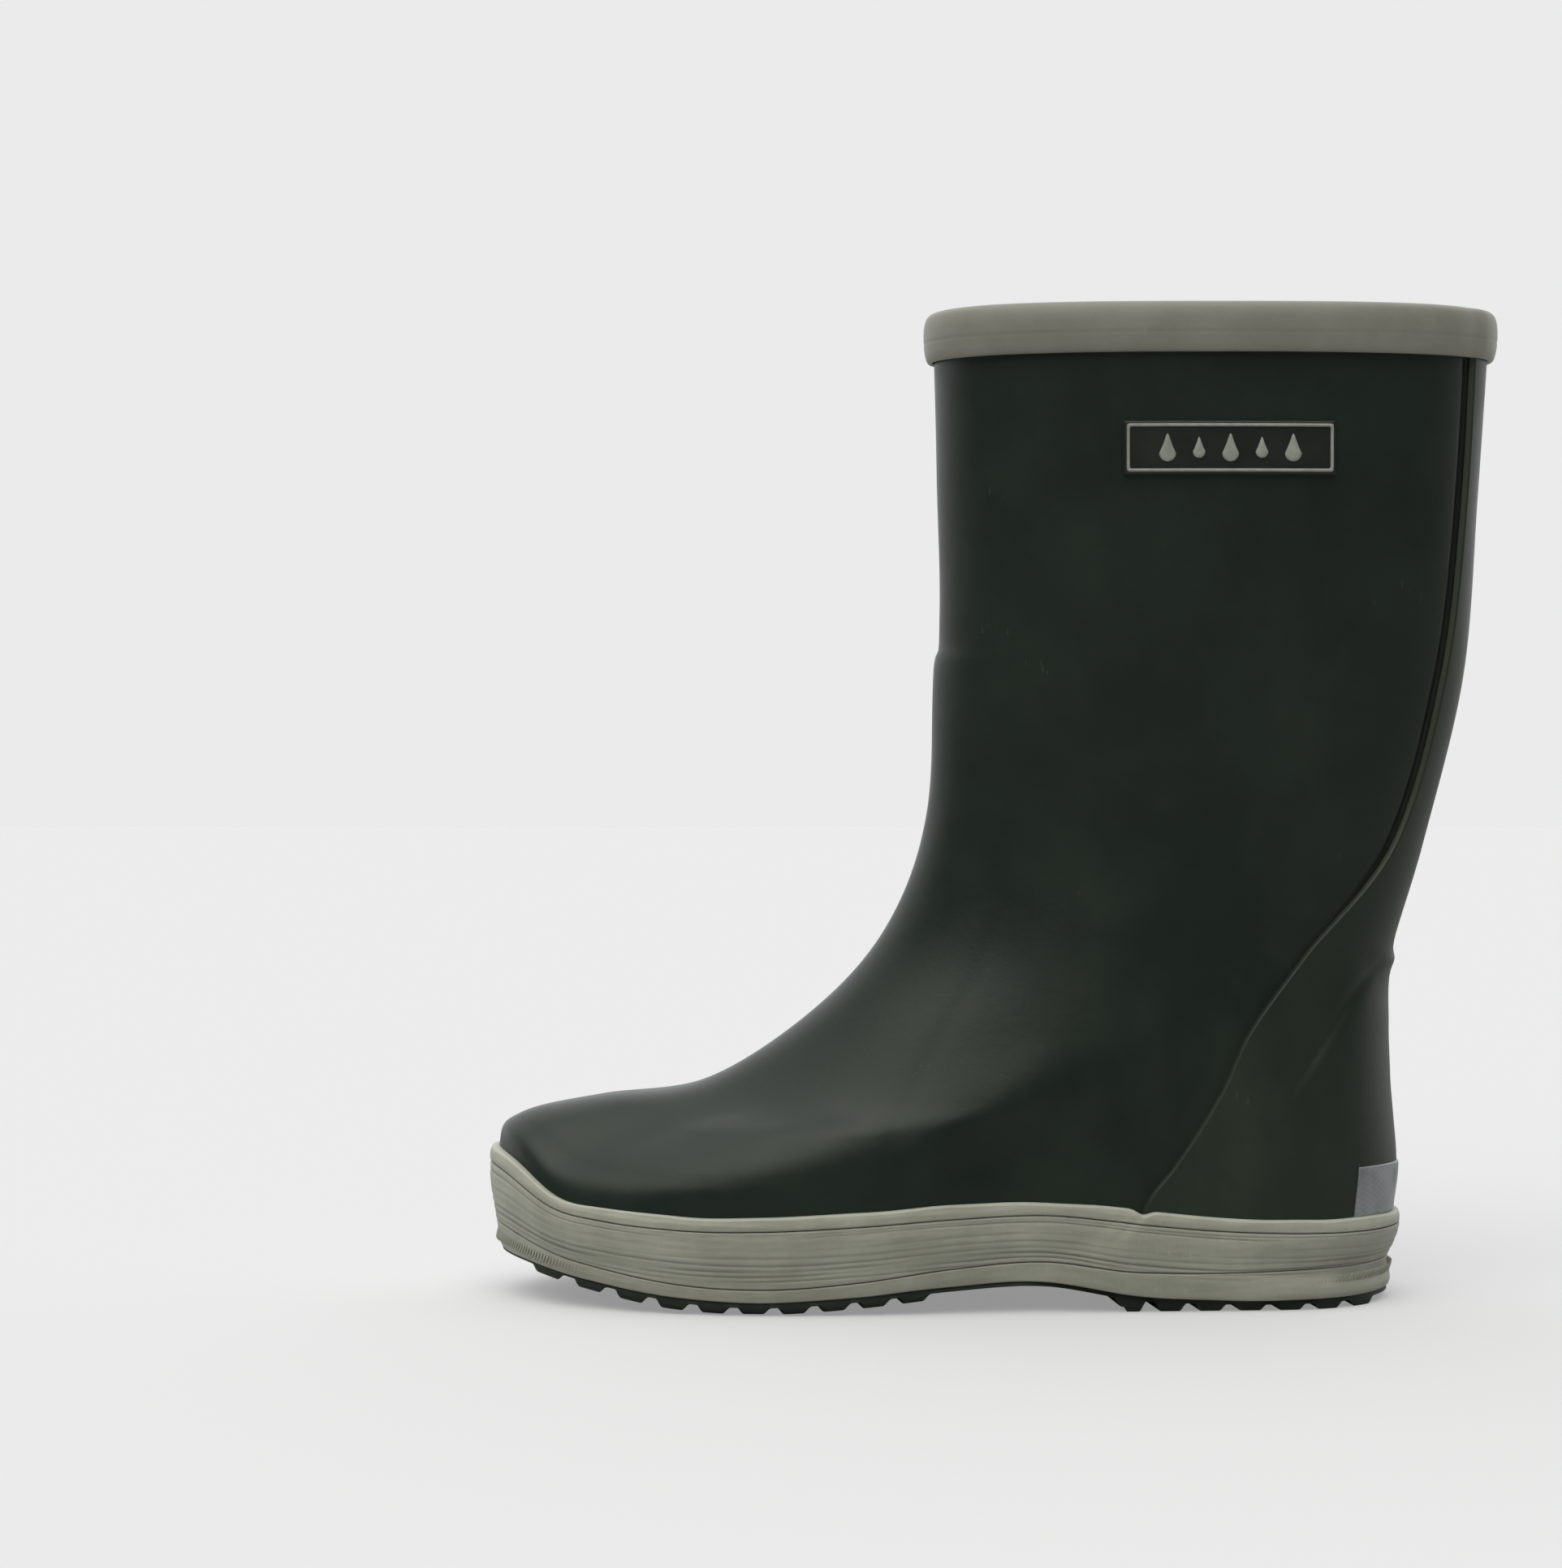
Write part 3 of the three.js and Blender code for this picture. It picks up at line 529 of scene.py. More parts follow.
badge_rubber = rubber(
    "badge_rubber", Colour=(0.0065, 0.008, 0.0078, 1), Mottled_Colour=(0.009, 0.011, 0.0105, 1),
    Wear_Colour=(0.06, 0.065, 0.06, 1), Mottle_Size=0.006, Bloom=0.15, Scuffs=0.4, Shine=0.42, Grain=0.4,
)
badge_relief = rubber(
    "badge_relief", Colour=(0.34, 0.35, 0.32, 1), Mottled_Colour=(0.42, 0.43, 0.40, 1),
    Wear_Colour=(0.16, 0.17, 0.155, 1), Mottle_Size=0.0022, Bloom=0.5, Scuffs=0.6, Shine=0.45, Grain=0.6,
)
stiffener_sheet = rubber(
    "stiffener_sheet", Colour=(0.05, 0.053, 0.048, 1), Mottled_Colour=(0.07, 0.073, 0.066, 1),
    Wear_Colour=(0.15, 0.15, 0.14, 1), Mottle_Size=0.005, Bloom=0.3, Scuffs=0.3, Shine=0.7, Grain=1.0,
)
sponge = rubber(
    "sponge", grain_depth=0.0003, Colour=(0.17, 0.155, 0.12, 1), Mottled_Colour=(0.24, 0.22, 0.18, 1),
    Wear_Colour=(0.32, 0.3, 0.26, 1), Mottle_Size=0.0012, Bloom=0.2, Scuffs=0.1, Shine=0.8, Grain=1.0,
)
board = rubber(
    "board", Colour=(0.25, 0.17, 0.085, 1), Mottled_Colour=(0.33, 0.23, 0.12, 1),
    Wear_Colour=(0.45, 0.36, 0.24, 1), Mottle_Size=0.003, Bloom=0.2, Scuffs=0.2, Shine=0.75, Grain=1.0,
)
print("rubber finishes ready")

# %% [markdown]
# Cloth.
# The lining is a fine cotton knit and the insole is faced with a plain weave. Both patterns have to
# follow the cloth round the foot, so they read the sheet's own UV map, which is in metres. A knit is
# columns of small slanted loops: two wave patterns slanted opposite ways, switched by the column.

# %% Shader groups: knit and weave
def knit_group():
    tree, given, out = new_group("knit", {"Loop Size": (FLOAT, 0.0012)}, {"Height": FLOAT, "Mask": FLOAT})
    uv = add(tree, "ShaderNodeUVMap", uv_map="UVMap").outputs[0]
    split = add(tree, "ShaderNodeSeparateXYZ", {0: uv}).outputs
    column = math_node(tree, "DIVIDE", split[0], given["Loop Size"])
    row = math_node(tree, "DIVIDE", split[1], given["Loop Size"])
    ramp = math_node(tree, "PINGPONG", column, 0.5)
    slanted = math_node(tree, "ADD", row, ramp)
    loop = math_node(tree, "SINE", math_node(tree, "MULTIPLY", slanted, 2 * math.pi))
    loop = math_node(tree, "MULTIPLY_ADD", loop, 0.5)
    tree.nodes[-1].inputs[2].default_value = 0.5
    rib = math_node(tree, "SINE", math_node(tree, "MULTIPLY", ramp, 2 * math.pi))
    rib = math_node(tree, "POWER", math_node(tree, "MAXIMUM", rib, 0.0), 0.5)
    height = math_node(tree, "MULTIPLY", loop, rib)
    fluff = noise(tree, uv, 9000.0, 2.0)
    height = math_node(tree, "ADD", height, math_node(tree, "MULTIPLY", fluff, 0.25))
    tree.links.new(height, out["Height"])
    tree.links.new(between(tree, height, 0.1, 0.9), out["Mask"])
    return tree


def weave_group():
    tree, given, out = new_group("weave", {"Thread": (FLOAT, 0.0007)}, {"Height": FLOAT, "Mask": FLOAT})
    uv = add(tree, "ShaderNodeUVMap", uv_map="UVMap").outputs[0]
    split = add(tree, "ShaderNodeSeparateXYZ", {0: uv}).outputs
    warp = math_node(tree, "DIVIDE", split[0], given["Thread"])
    weft = math_node(tree, "DIVIDE", split[1], given["Thread"])
    over = math_node(tree, "SINE", math_node(tree, "MULTIPLY", warp, math.pi))
    under = math_node(tree, "SINE", math_node(tree, "MULTIPLY", weft, math.pi))
    height = math_node(tree, "MULTIPLY", over, under)
    height = math_node(tree, "MULTIPLY_ADD", height, 0.5)
    tree.nodes[-1].inputs[2].default_value = 0.5
    fibres = noise(tree, uv, 7000.0, 3.0)
    height = math_node(tree, "ADD", height, math_node(tree, "MULTIPLY", fibres, 0.4))
    tree.links.new(height, out["Height"])
    tree.links.new(between(tree, height, 0.2, 1.2), out["Mask"])
    return tree


def cloth(name, group, size_label, size, dark, light, soil, depth):
    material, tree, surface = new_material(name)
    pattern = tree.nodes.new("ShaderNodeGroup")
    pattern.node_tree = group
    pattern.inputs[size_label].default_value = size
    place = add(tree, "ShaderNodeTexCoord").outputs["Object"]
    colour = blend_colours(tree, pattern.outputs["Mask"], dark, light)
    worn = between(tree, noise(tree, place, 38.0, 5.0, 0.6), 0.45, 0.75)
    colour = blend_colours(tree, math_node(tree, "MULTIPLY", worn, 0.35), colour, soil)
    tree.links.new(colour, surface.inputs["Base Color"])
    set_bump(tree, surface, pattern.outputs["Height"], depth, 0.9)
    surface.inputs["Roughness"].default_value = 0.92
    surface.inputs["Sheen Weight"].default_value = 0.3
    surface.inputs["Sheen Roughness"].default_value = 0.6
    return material


knit_lining = cloth("knit_lining", knit_group(), "Loop Size", 0.0013,
                    (0.52, 0.48, 0.40, 1), (0.76, 0.72, 0.62, 1), (0.42, 0.37, 0.29, 1), 0.00025)
insole_weave = cloth("insole_cloth", weave_group(), "Thread", 0.0008,
                     (0.42, 0.37, 0.28, 1), (0.62, 0.56, 0.45, 1), (0.3, 0.26, 0.2, 1), 0.0002)

# %% [markdown]
# Reflective tape and foam.
# The heel patch is a silver-grey film of tiny glass beads: at this scale it is a cool even grey with a
# faint cross-hatch and a soft gleam. The insole's foam is pale, with open cells along its cut edge.

# %% Tape and foam materials
def reflective_tape_material():
    material, tree, surface = new_material("reflective_tape")
    place = add(tree, "ShaderNodeTexCoord").outputs["Object"]
    hatch = {"Vector": place, "Rotation": (0, 0.78, 0), "Scale": (1100, 1100, 1100)}
    turned = add(tree, "ShaderNodeMapping", hatch)
    cells = add(tree, "ShaderNodeTexChecker", {"Vector": turned.outputs[0], "Scale": 1.0}).outputs["Fac"]
    rubbed = between(tree, noise(tree, place, 140.0, 5.0, 0.6), 0.4, 0.75)
    colour = blend_colours(tree, cells, (0.27, 0.285, 0.31, 1), (0.31, 0.325, 0.35, 1))
    colour = blend_colours(tree, math_node(tree, "MULTIPLY", rubbed, 0.5), colour, (0.19, 0.195, 0.205, 1))
    tree.links.new(colour, surface.inputs["Base Color"])
    rough = add(tree, "ShaderNodeMapRange", {0: rubbed, 3: 0.34, 4: 0.55}).outputs[0]
    tree.links.new(rough, surface.inputs["Roughness"])
    set_bump(tree, surface, noise(tree, place, 700.0, 3.0), 0.00008, 0.6)
    surface.inputs["Metallic"].default_value = 0.35
    return material


def foam_material():
    material, tree, surface = new_material("foam")
    place = add(tree, "ShaderNodeTexCoord").outputs["Object"]
    cells = add(tree, "ShaderNodeTexVoronoi", {"Vector": place, "Scale": 1500.0}).outputs["Distance"]
    aged = noise(tree, place, 60.0, 4.0)
    colour = blend_colours(tree, cells, (0.45, 0.40, 0.30, 1), (0.74, 0.69, 0.56, 1))
    colour = blend_colours(tree, between(tree, aged, 0.45, 0.8), colour, (0.6, 0.5, 0.32, 1))
    tree.links.new(colour, surface.inputs["Base Color"])
    set_bump(tree, surface, cells, 0.0003, 0.8)
    surface.inputs["Roughness"].default_value = 0.9
    return material


reflective_tape = reflective_tape_material()
foam = foam_material()
print("cloth, tape and foam ready")

# %% [markdown]
# The outer sheet.
# One rubber sheet makes the leg and the vamp. A reinforcing sheet lies under it over the instep, and
# its edge shows through as a soft step that arches across the shin and runs down beside the ankle.
# The step is modelled in the sheet, because its highlight bends round it, which a bump map only hints
# at. Just ahead of the back stay the sheet dips, and painted shade darkens the dip's colour; the two
# together draw the dark line along the stay.

# %% Leg and vamp
LEG_THICKNESS = 1.5
GROOVE_HALF = 0.75
INSTEP_EDGE = ((-30, 20), (-28.5, 30), (-25, 45), (-17.5, 60), (-7, 78), (0.5, 97), (4.5, 112), (5.5, 125),
               (3, 137), (-4, 146), (-12, 150), (-20, 150.5))


def sway(points):
    """Slow unevenness shared by every outer layer, so that they stay snug."""
    x, y, z = (points[..., axis] for axis in range(3))
    return 0.22 * waves(x, y, z, 75, 1) + 0.08 * waves(x, y, z, 28, 2)


SHIN_FOLD_Z = 150.5


def leg_relief(turn, points):
    """Height of the outer sheet over the last, where the layers under it show through."""
    along = (1 - np.cos(turn)) / 2
    x, z = points[..., 0], points[..., 2]
    near, at = path_distance(x, z, INSTEP_EDGE)
    inside = (x < at) & (z < SHIN_FOLD_Z)
    depth = np.where(inside, near, -near)
    strength = 0.22 + 0.08 * np.exp(-((z - 60) / 16) ** 2) + 0.3 * np.exp(-((z - 138) / 16) ** 2)
    strength = strength * smooth(z, 30, 46) - 0.1 * np.exp(-((z - 100) / 13) ** 2)
    step = smooth(depth, -2.4, 3.2) * strength
    hollow = -0.07 * np.exp(-((depth + 2.2) / 2.0) ** 2) * smooth(z, 38, 50) * (1 - smooth(z, 88, 104))
    shin = -0.7 * smooth(z, 149.5, 152.5) * (1 - smooth(z, 162, 194)) * (1 - smooth(along, 0.03, 0.16))
    return step + hollow + shin


def ahead_of_stay(level, points):
    """How far points lie in front of the back stay's edge."""
    edge_x = skin(turn_at(stay_edge(level)), level)[..., 0]
    return edge_x - points[..., 0]


columns = 336
turns = np.linspace(0, 2 * np.pi, columns + 1)[None, :-1]
levels = np.concatenate([np.linspace(0.35, 7, 132), np.linspace(7, RIM - 0.03, 76)[1:]])[:, None]
turn, level = np.broadcast_arrays(turns, levels)
base = skin(turn, level)
height = base[..., 2]
gap_ahead = ahead_of_stay(level, base)
# The same mask sets the dip ahead of the stay and the painted shade in its colour.
groove_shade = np.exp(-((gap_ahead - GROOVE_HALF) / GROOVE_HALF) ** 4) * (0.25 + 0.75 * smooth(height, 40, 100))
groove_depth = 0.25 + 0.55 * smooth(height, 80, 130)
relief = leg_relief(turn, base) + sway(base) - groove_depth * groove_shade
inner_turn, inner_level = np.broadcast_arrays(turns, np.linspace(0.35, RIM - 0.03, 16)[:, None])
leg_outside = skin(turn, level, relief)
leg_inside = skin(inner_turn, inner_level, -LEG_THICKNESS)
leg = sheet("leg_and_vamp_sheet", leg_outside, leg_inside, True, {"groove_shade": groove_shade})
finish(leg, green_rubber, "green_rubber", "boot", "leg_and_vamp")

# %% [markdown]
# The back stay.
# A second sheet runs down the back seam and widens into a cap round the heel. Its edges were cut with
# a skive, so they are rounded; they are painted paler than the face, partly as cut rubber and partly as
# a painted highlight. The stiffener inside the heel ends in a soft diagonal crease. The stay lies on the
# leg sheet and so takes its unevenness from the same waves.

# %% Back stay
STAY_HEIGHT = 1.35
COUNTER_EDGE = ((62, 42), (66, 48), (71, 56), (78, 66.5), (85, 75.5), (91, 80.5), (98, 83))


def spread(count, crowd=0.55):
    """Numbers from 0 to 1, closer together towards both ends."""
    even = np.linspace(0, 1, count)
    return (1 - crowd) * even + crowd * (1 - np.cos(np.pi * even)) / 2


levels = np.linspace(0.55, RIM - 0.05, 250)[:, None]
start = turn_at(stay_edge(levels))
turn = start + (2 * np.pi - 2 * start) * spread(150, 0.75)[None, :]
level = np.broadcast_to(levels, turn.shape)
base = skin(turn, level)
from_side, _ = edge_distance(base)
near, at = path_distance(base[..., 0], base[..., 2], COUNTER_EDGE)
inside = (base[..., 0] > at) & (base[..., 2] < 84)
crease = smooth(np.where(inside, near, -near), -1.2, 1.2) * smooth(base[..., 2], 40, 60) * 0.55
fold = -0.25 * np.exp(-(near / 1.6) ** 2) * smooth(base[..., 2], 44, 60)
lift = STAY_HEIGHT * rounded(from_side, 0.8) + 0.02
at_back = smooth((1 - np.cos(turn)) / 2, 0.93, 1)
roll = 0.8 * np.exp(-((base[..., 2] - 80) / 2.6) ** 2) * at_back
stay_top = lift + sway(base) + (crease + fold + roll) * smooth(from_side, 0, 6)
# Painted highlight: the skived edge is painted paler, partly as a cut edge and partly as light caught on its
# rounding, more so towards the top.
pale = np.clip(1 - from_side / 0.55, 0, 1) * (0.05 + 0.95 * smooth(base[..., 2], 70, 120)) * 0.5
stay_under = skin(turn, level, sway(base) - 0.05)
stay = sheet("back_stay_sheet", skin(turn, level, stay_top), stay_under, False, {"edge": pale})
finish(stay, green_rubber_lit_copy, "green_rubber", "boot", "back_stay")

# %% [markdown]
# The top binding.
# A soft grey tape is folded over the rim, so its section is a long loop: up the outside, over and down
# the inside. It bulges a little, its lower edge is rolled tight against the leg, and it steps out over
# the back stay. A section swept round the rim gives all of that at once, where a bevelled curve could
# not follow the rim's changing width.

# %% Top binding
RIM_HEIGHT = 230
RIM_LEVEL_MM = 42
BINDING_LINE = -5.8
BINDING_STATIONS = 320
BINDING_STEP = 0.75  # how much of the stay's thickness the stretched tape still shows
BINDING_SECTION = (
    (0.15, -9.65), (0.35, -10.18), (1.0, -10.4), (1.58, -9.91), (1.98, -8.67), (2.2, -7.08),
    (2.28, -5.49), (2.26, -3.89), (2.13, -2.3), (1.83, -0.89), (1.3, 0.3), (0.3, 1.1), (-1.2, 1.45),
    (-3.0, 1.5), (-4.6, 1.2), (-5.6, 0.3), (-5.95, -1.2), (-5.97, -3.2), (-5.95, -5.2), (-5.75, -6.7),
    (-5.3, -7.2), (-4.85, -6.8), (-4.72, -5.2), (-4.7, -3.0), (-4.66, -1.0), (-4.2, -0.25),
    (-2.6, -0.15), (-0.8, -0.15), (0.12, -0.5), (0.15, -2.66), (0.15, -5.31), (0.15, -7.79),
)


def over_stay(along, level, width=0.012):
    """How far a tape is lifted where it passes over the back stay."""
    edge = stay_edge(level)
    return STAY_HEIGHT * smooth(along, edge - width, edge + width)


def closed_curve(points, count):
    """Smooth closed curve through points, at evenly numbered steps."""
    points = np.asarray(points, float)
    looped = np.concatenate([points[-2:], points, points[:3]])
    step = 2 + np.arange(count) * len(points) / count
    return np.stack([through(looped[:, axis], step) for axis in range(2)], -1)


section = closed_curve(BINDING_SECTION, 128)
turn = np.linspace(0, 2 * np.pi, BINDING_STATIONS + 1)[None, :-1]
offset, height = (np.broadcast_to(section[:, k:k + 1], (len(section), BINDING_STATIONS)) for k in (0, 1))
turn = np.broadcast_to(turn, offset.shape)
along = (1 - np.cos(turn)) / 2
outside = smooth(offset, -0.5, 0.6)
ring_level = RIM + np.minimum(height, 0) / RIM_LEVEL_MM
base = skin(turn, ring_level)
rolled = 0.16 * waves(base[..., 0], base[..., 1], height * 4, 46, 11) * outside
line_height = BINDING_LINE - 0.25 * waves(base[..., 0], base[..., 1], 0, 60, 5)
line = np.exp(-((height - line_height) / 0.28) ** 2) * smooth(offset, 1.5, 2)
lift = (BINDING_STEP * over_stay(along, RIM) + sway(base) + rolled) * outside
rings = skin(turn, ring_level, offset + lift - 0.09 * line)
ragged = 0.22 * waves(base[..., 0], base[..., 1], 0, 70, 4) * (height < -8) * outside
rings[..., 2] = RIM_HEIGHT + height + ragged
# The seam line is also darkened a little in colour, as painted shade in its groove.
binding = swept("top_binding_roll", rings, {"groove_shade": 0.12 * line})
finish(binding, grey_rubber_shaded_copy, "grey_rubber", "boot", "top_binding")

# %% [markdown]
# The foxing.
# Three grey tapes are rolled on round the sole edge: a narrow strip at the foot, a broad band, and a
# thin stripe that closes the joint with the green rubber. Rolling leaves fine lengthwise lines and a
# wavy hand-trimmed edge, and the tapes step outwards over the stay. One function lays all three on the
# same profile, so that their faces run on into each other as they do on a pressed and cured boot.

# %% Profile of the foxing
FOXING_MM = 19.5
PROFILE_STEP = 1.5
FOREFOOT_PROFILE = (1.0, 1.25, 1.42, 1.56, 1.7, 1.85, 2.0, 2.1, 2.16, 2.2, 2.17, 2.15, 2.15, 1.8)
HEEL_PROFILE = (2.1, 2.45, 2.4, 1.95, 1.35, 1.4, 1.8, 2.4, 2.85, 3.2, 3.45, 3.5, 3.4, 3.05)
ROLLED_LINES = (
    # height on the forefoot, height at the heel, depth, width
    (5.1, 5.2, 0.16, 0.22), (6.3, 6.5, 0.2, 0.25), (7.4, 8.2, 0.26, 0.3), (8.8, 9.6, 0.2, 0.28),
    (10.4, 10.9, 0.1, 0.3), (12.1, 12.5, 0.07, 0.3), (14.9, 14.6, 0.16, 0.24), (15.6, 15.5, 0.1, 0.2),
)


def foxing_face(turn, level):
    """Height of the foxing's face over the last, and the painted shade of its rolled lines and of the step
    over the stay.
    """
    along = (1 - np.cos(turn)) / 2
    height = level * FOXING_MM
    at_heel = smooth(along, 0.78, 0.95)
    base = skin(turn, level)
    x, y = base[..., 0], base[..., 1]
    slant = 0.09 * (1 - level)
    lift = over_stay(along + slant, 1.0, 0.010 + 0.045 * (1 - level))
    front = through(FOREFOOT_PROFILE, height / PROFILE_STEP) + lift
    back = through(HEEL_PROFILE, height / PROFILE_STEP)
    face = front * (1 - at_heel) + back * at_heel + sway(base)
    face = face + 0.14 * waves(x, y, height * 5, 34, 21) + 0.06 * waves(x, y, height * 9, 12, 22)
    line_shade = np.zeros_like(face)
    for k, (low, high, depth, width) in enumerate(ROLLED_LINES):
        centre = low * (1 - at_heel) + high * at_heel + 0.28 * waves(x, y, 0, 55, 30 + k)
        strength = smooth(waves(x, y, 0, 48, 50 + k), -0.45, 0.3)
        line = np.exp(-((height - centre) / width) ** 2) * strength
        face = face - depth * line
        # Painted shade in each rolled line, deeper lines darker.
        line_shade = np.maximum(line_shade, line * depth / 0.26)
    pinch = np.exp(-((along + slant - stay_edge(1.0)) / 0.004) ** 2) * smooth(level, 0.35, 1)
    return face - 0.3 * pinch, np.clip(line_shade + 0.6 * pinch, 0, 1), base


def foxing_inside(turn, level):
    along = (1 - np.cos(turn)) / 2
    return 0.04 + over_stay(along + 0.09 * (1 - level), 1.0, 0.010 + 0.045 * (1 - level)) * 0.96


# %% Lay the three tapes
FOXING_COLUMNS = 560
STRIP_TOP = (5.6, 4.6, 3.6, 3.3, 3.7, 4.6, 5.2, 5.6, 6.6, 7.5, 7.8)


def lay_tape(name, low, high, rows, node, edge_drop=0.5, pale_top_highlight=0.0):
    turn = np.linspace(0, 2 * np.pi, FOXING_COLUMNS + 1)[None, :-1]
    s = spread(rows, 0.5)[:, None]
    level = low(turn) + (high(turn) - low(turn)) * s
    turn = np.broadcast_to(turn, level.shape)
    face, lines, base = foxing_face(turn, level)
    from_edge = np.minimum(level - level[:1], level[-1:] - level) * FOXING_MM
    face = face - edge_drop * (1 - rounded(from_edge, 0.45))
    inner_level = np.concatenate([level[:1], level[rows // 2:rows // 2 + 1], level[-1:]])
    inside = foxing_inside(turn[:3], inner_level) + sway(skin(turn[:3], inner_level))
    # Painted highlight along the stripe's rounded top edge, partly a paler cut edge.
    top_edge_highlight = np.clip(1 - (level[-1:] - level) * FOXING_MM / 0.7, 0, 1) * pale_top_highlight
    # Painted shade along each tape's edges, where one tape meets the next.
    seam = np.clip(1 - from_edge / 0.22, 0, 1) * 0.5
    masks = {"groove_shade": np.clip(lines * 0.6 + seam * (1 - pale_top_highlight), 0, 1), "edge": top_edge_highlight}
    tape = sheet(name, skin(turn, level, face), skin(turn[:3], inner_level, inside), True, masks)
    return finish(tape, grey_rubber, "grey_rubber", "boot", node)


def strip_top(turn, gap):
    along = (1 - np.cos(turn)) / 2
    x, y = (last_point(turn, 0.3)[..., axis] for axis in (0, 1))
    return (through(STRIP_TOP, along * 10) + 0.3 * waves(x, y, 0, 60, 71)) / FOXING_MM + gap


def stripe_foot(turn, gap):
    x, y = (last_point(turn, 0.85)[..., axis] for axis in (0, 1))
    return 0.842 + 0.008 * waves(x, y, 0, 80, 72) + gap


def foxing_foot(turn):
    x, y = (last_point(turn, 0.0)[..., axis] for axis in (0, 1))
    return 0.012 + 0.012 * waves(x, y, 0, 26, 73)


def foxing_rim(turn):
    x, y = (last_point(turn, 1.0)[..., axis] for axis in (0, 1))
    along = (1 - np.cos(turn)) / 2
    step = 0.05 * np.exp(-((along - stay_edge(1.0)) / 0.008) ** 2)
    return 1.0 + 0.022 * waves(x, y, 0, 40, 74) + 0.010 * waves(x, y, 0, 13, 75) - step


lay_tape(
    "foxing_lower_roll", foxing_foot, lambda turn: strip_top(turn, -0.004), 40,
    "foxing_lower_strip", edge_drop=0.4,
)
lay_tape(
    "foxing_band_roll", lambda turn: strip_top(turn, 0.004), lambda turn: stripe_foot(turn, -0.003), 84,
    "foxing_band", edge_drop=0.25,
)
lay_tape(
    "foxing_stripe_roll", lambda turn: stripe_foot(turn, 0.003), foxing_rim, 30,
    "foxing_top_stripe", edge_drop=0.7, pale_top_highlight=0.6,
)

# %% [markdown]
# Knurled rows.
# A toothed wheel presses short slanted ridges into the foot of the foxing, round the heel and round
# the toe. There are a couple of hundred, all alike and evenly spaced along a curve, which is exactly
# what Geometry Nodes are for: points carry the place and the turn, and one small ridge is set on each.

# %% Geometry Nodes: ridges on points
def ridge_tree():
    tree = bpy.data.node_groups.new("pressed_ridges", "GeometryNodeTree")
    face = tree.interface
    face.new_socket(name="Points", in_out="INPUT", socket_type="NodeSocketGeometry")
    for label, value in {"Ridge Length": 0.004, "Ridge Width": 0.0004, "Ridge Height": 0.0003}.items():
        face.new_socket(name=label, in_out="INPUT", socket_type="NodeSocketFloat").default_value = value
    face.new_socket(name="Material", in_out="INPUT", socket_type="NodeSocketMaterial")
    face.new_socket(name="Geometry", in_out="OUTPUT", socket_type="NodeSocketGeometry")
    given, out = tree.nodes.new("NodeGroupInput").outputs, tree.nodes.new("NodeGroupOutput").inputs
    ball = add(tree, "GeometryNodeMeshUVSphere", {"Segments": 8, "Rings": 6, "Radius": 0.5}).outputs["Mesh"]
    sides = {0: given["Ridge Width"], 1: given["Ridge Height"], 2: given["Ridge Length"]}
    size = add(tree, "ShaderNodeCombineXYZ", sides)
    turned = add(tree, "GeometryNodeInputNamedAttribute", {"Name": "turned"}, data_type="FLOAT_VECTOR")
    fade = add(tree, "GeometryNodeInputNamedAttribute", {"Name": "fade"}, data_type="FLOAT")
    scaled = add(tree, "ShaderNodeVectorMath", {0: size.outputs[0]}, operation="SCALE")
    tree.links.new(fade.outputs["Attribute"], scaled.inputs["Scale"])
    placed = add(tree, "GeometryNodeInstanceOnPoints", {
        "Points": given["Points"], "Instance": ball, "Rotation": turned.outputs["Attribute"],
        "Scale": scaled.outputs[0],
    })
    real = add(tree, "GeometryNodeRealizeInstances", {0: placed.outputs[0]})
    shading = {"Geometry": real.outputs[0], "Shade Smooth": True}
    smooth_faces = add(tree, "GeometryNodeSetShadeSmooth", shading)
    coating = {"Geometry": smooth_faces.outputs[0], "Material": given["Material"]}
    coated = add(tree, "GeometryNodeSetMaterial", coating)
    tree.links.new(coated.outputs[0], out[0])
    return tree


def run_nodes(piece_name, carrier, tree, settings):
    """Set a tree's inputs by identifier, evaluate it and keep the result as a plain mesh object."""
    modifier = carrier.modifiers.new("ridges", "NODES")
    modifier.node_group = tree
    for item in tree.interface.items_tree:
        if item.in_out == "INPUT" and item.name in settings:
            modifier[item.identifier] = settings[item.name]
    evaluated = carrier.evaluated_get(bpy.context.evaluated_depsgraph_get())
    mesh = bpy.data.meshes.new_from_object(evaluated)
    carrier.modifiers.remove(modifier)
    bpy.data.objects.remove(carrier)
    mesh.name = piece_name
    piece = bpy.data.objects.new(piece_name, mesh)
    bpy.context.scene.collection.objects.link(piece)
    return piece


# %% Place the ridges
RIDGE_PITCH = 0.98
RIDGE_LEVEL = 0.215
RIDGE_LEAN = 0.32


def even_turns(start, end, pitch, level):
    """Turns between two turns, an equal distance apart along the boot."""
    fine = np.linspace(start, end, 4000)
    path = skin(fine, level, 2.0)
    walked = np.concatenate([[0], np.cumsum(np.linalg.norm(np.diff(path, axis=0), axis=-1))])
    return np.interp(np.arange(0, walked[-1], pitch), walked, fine)


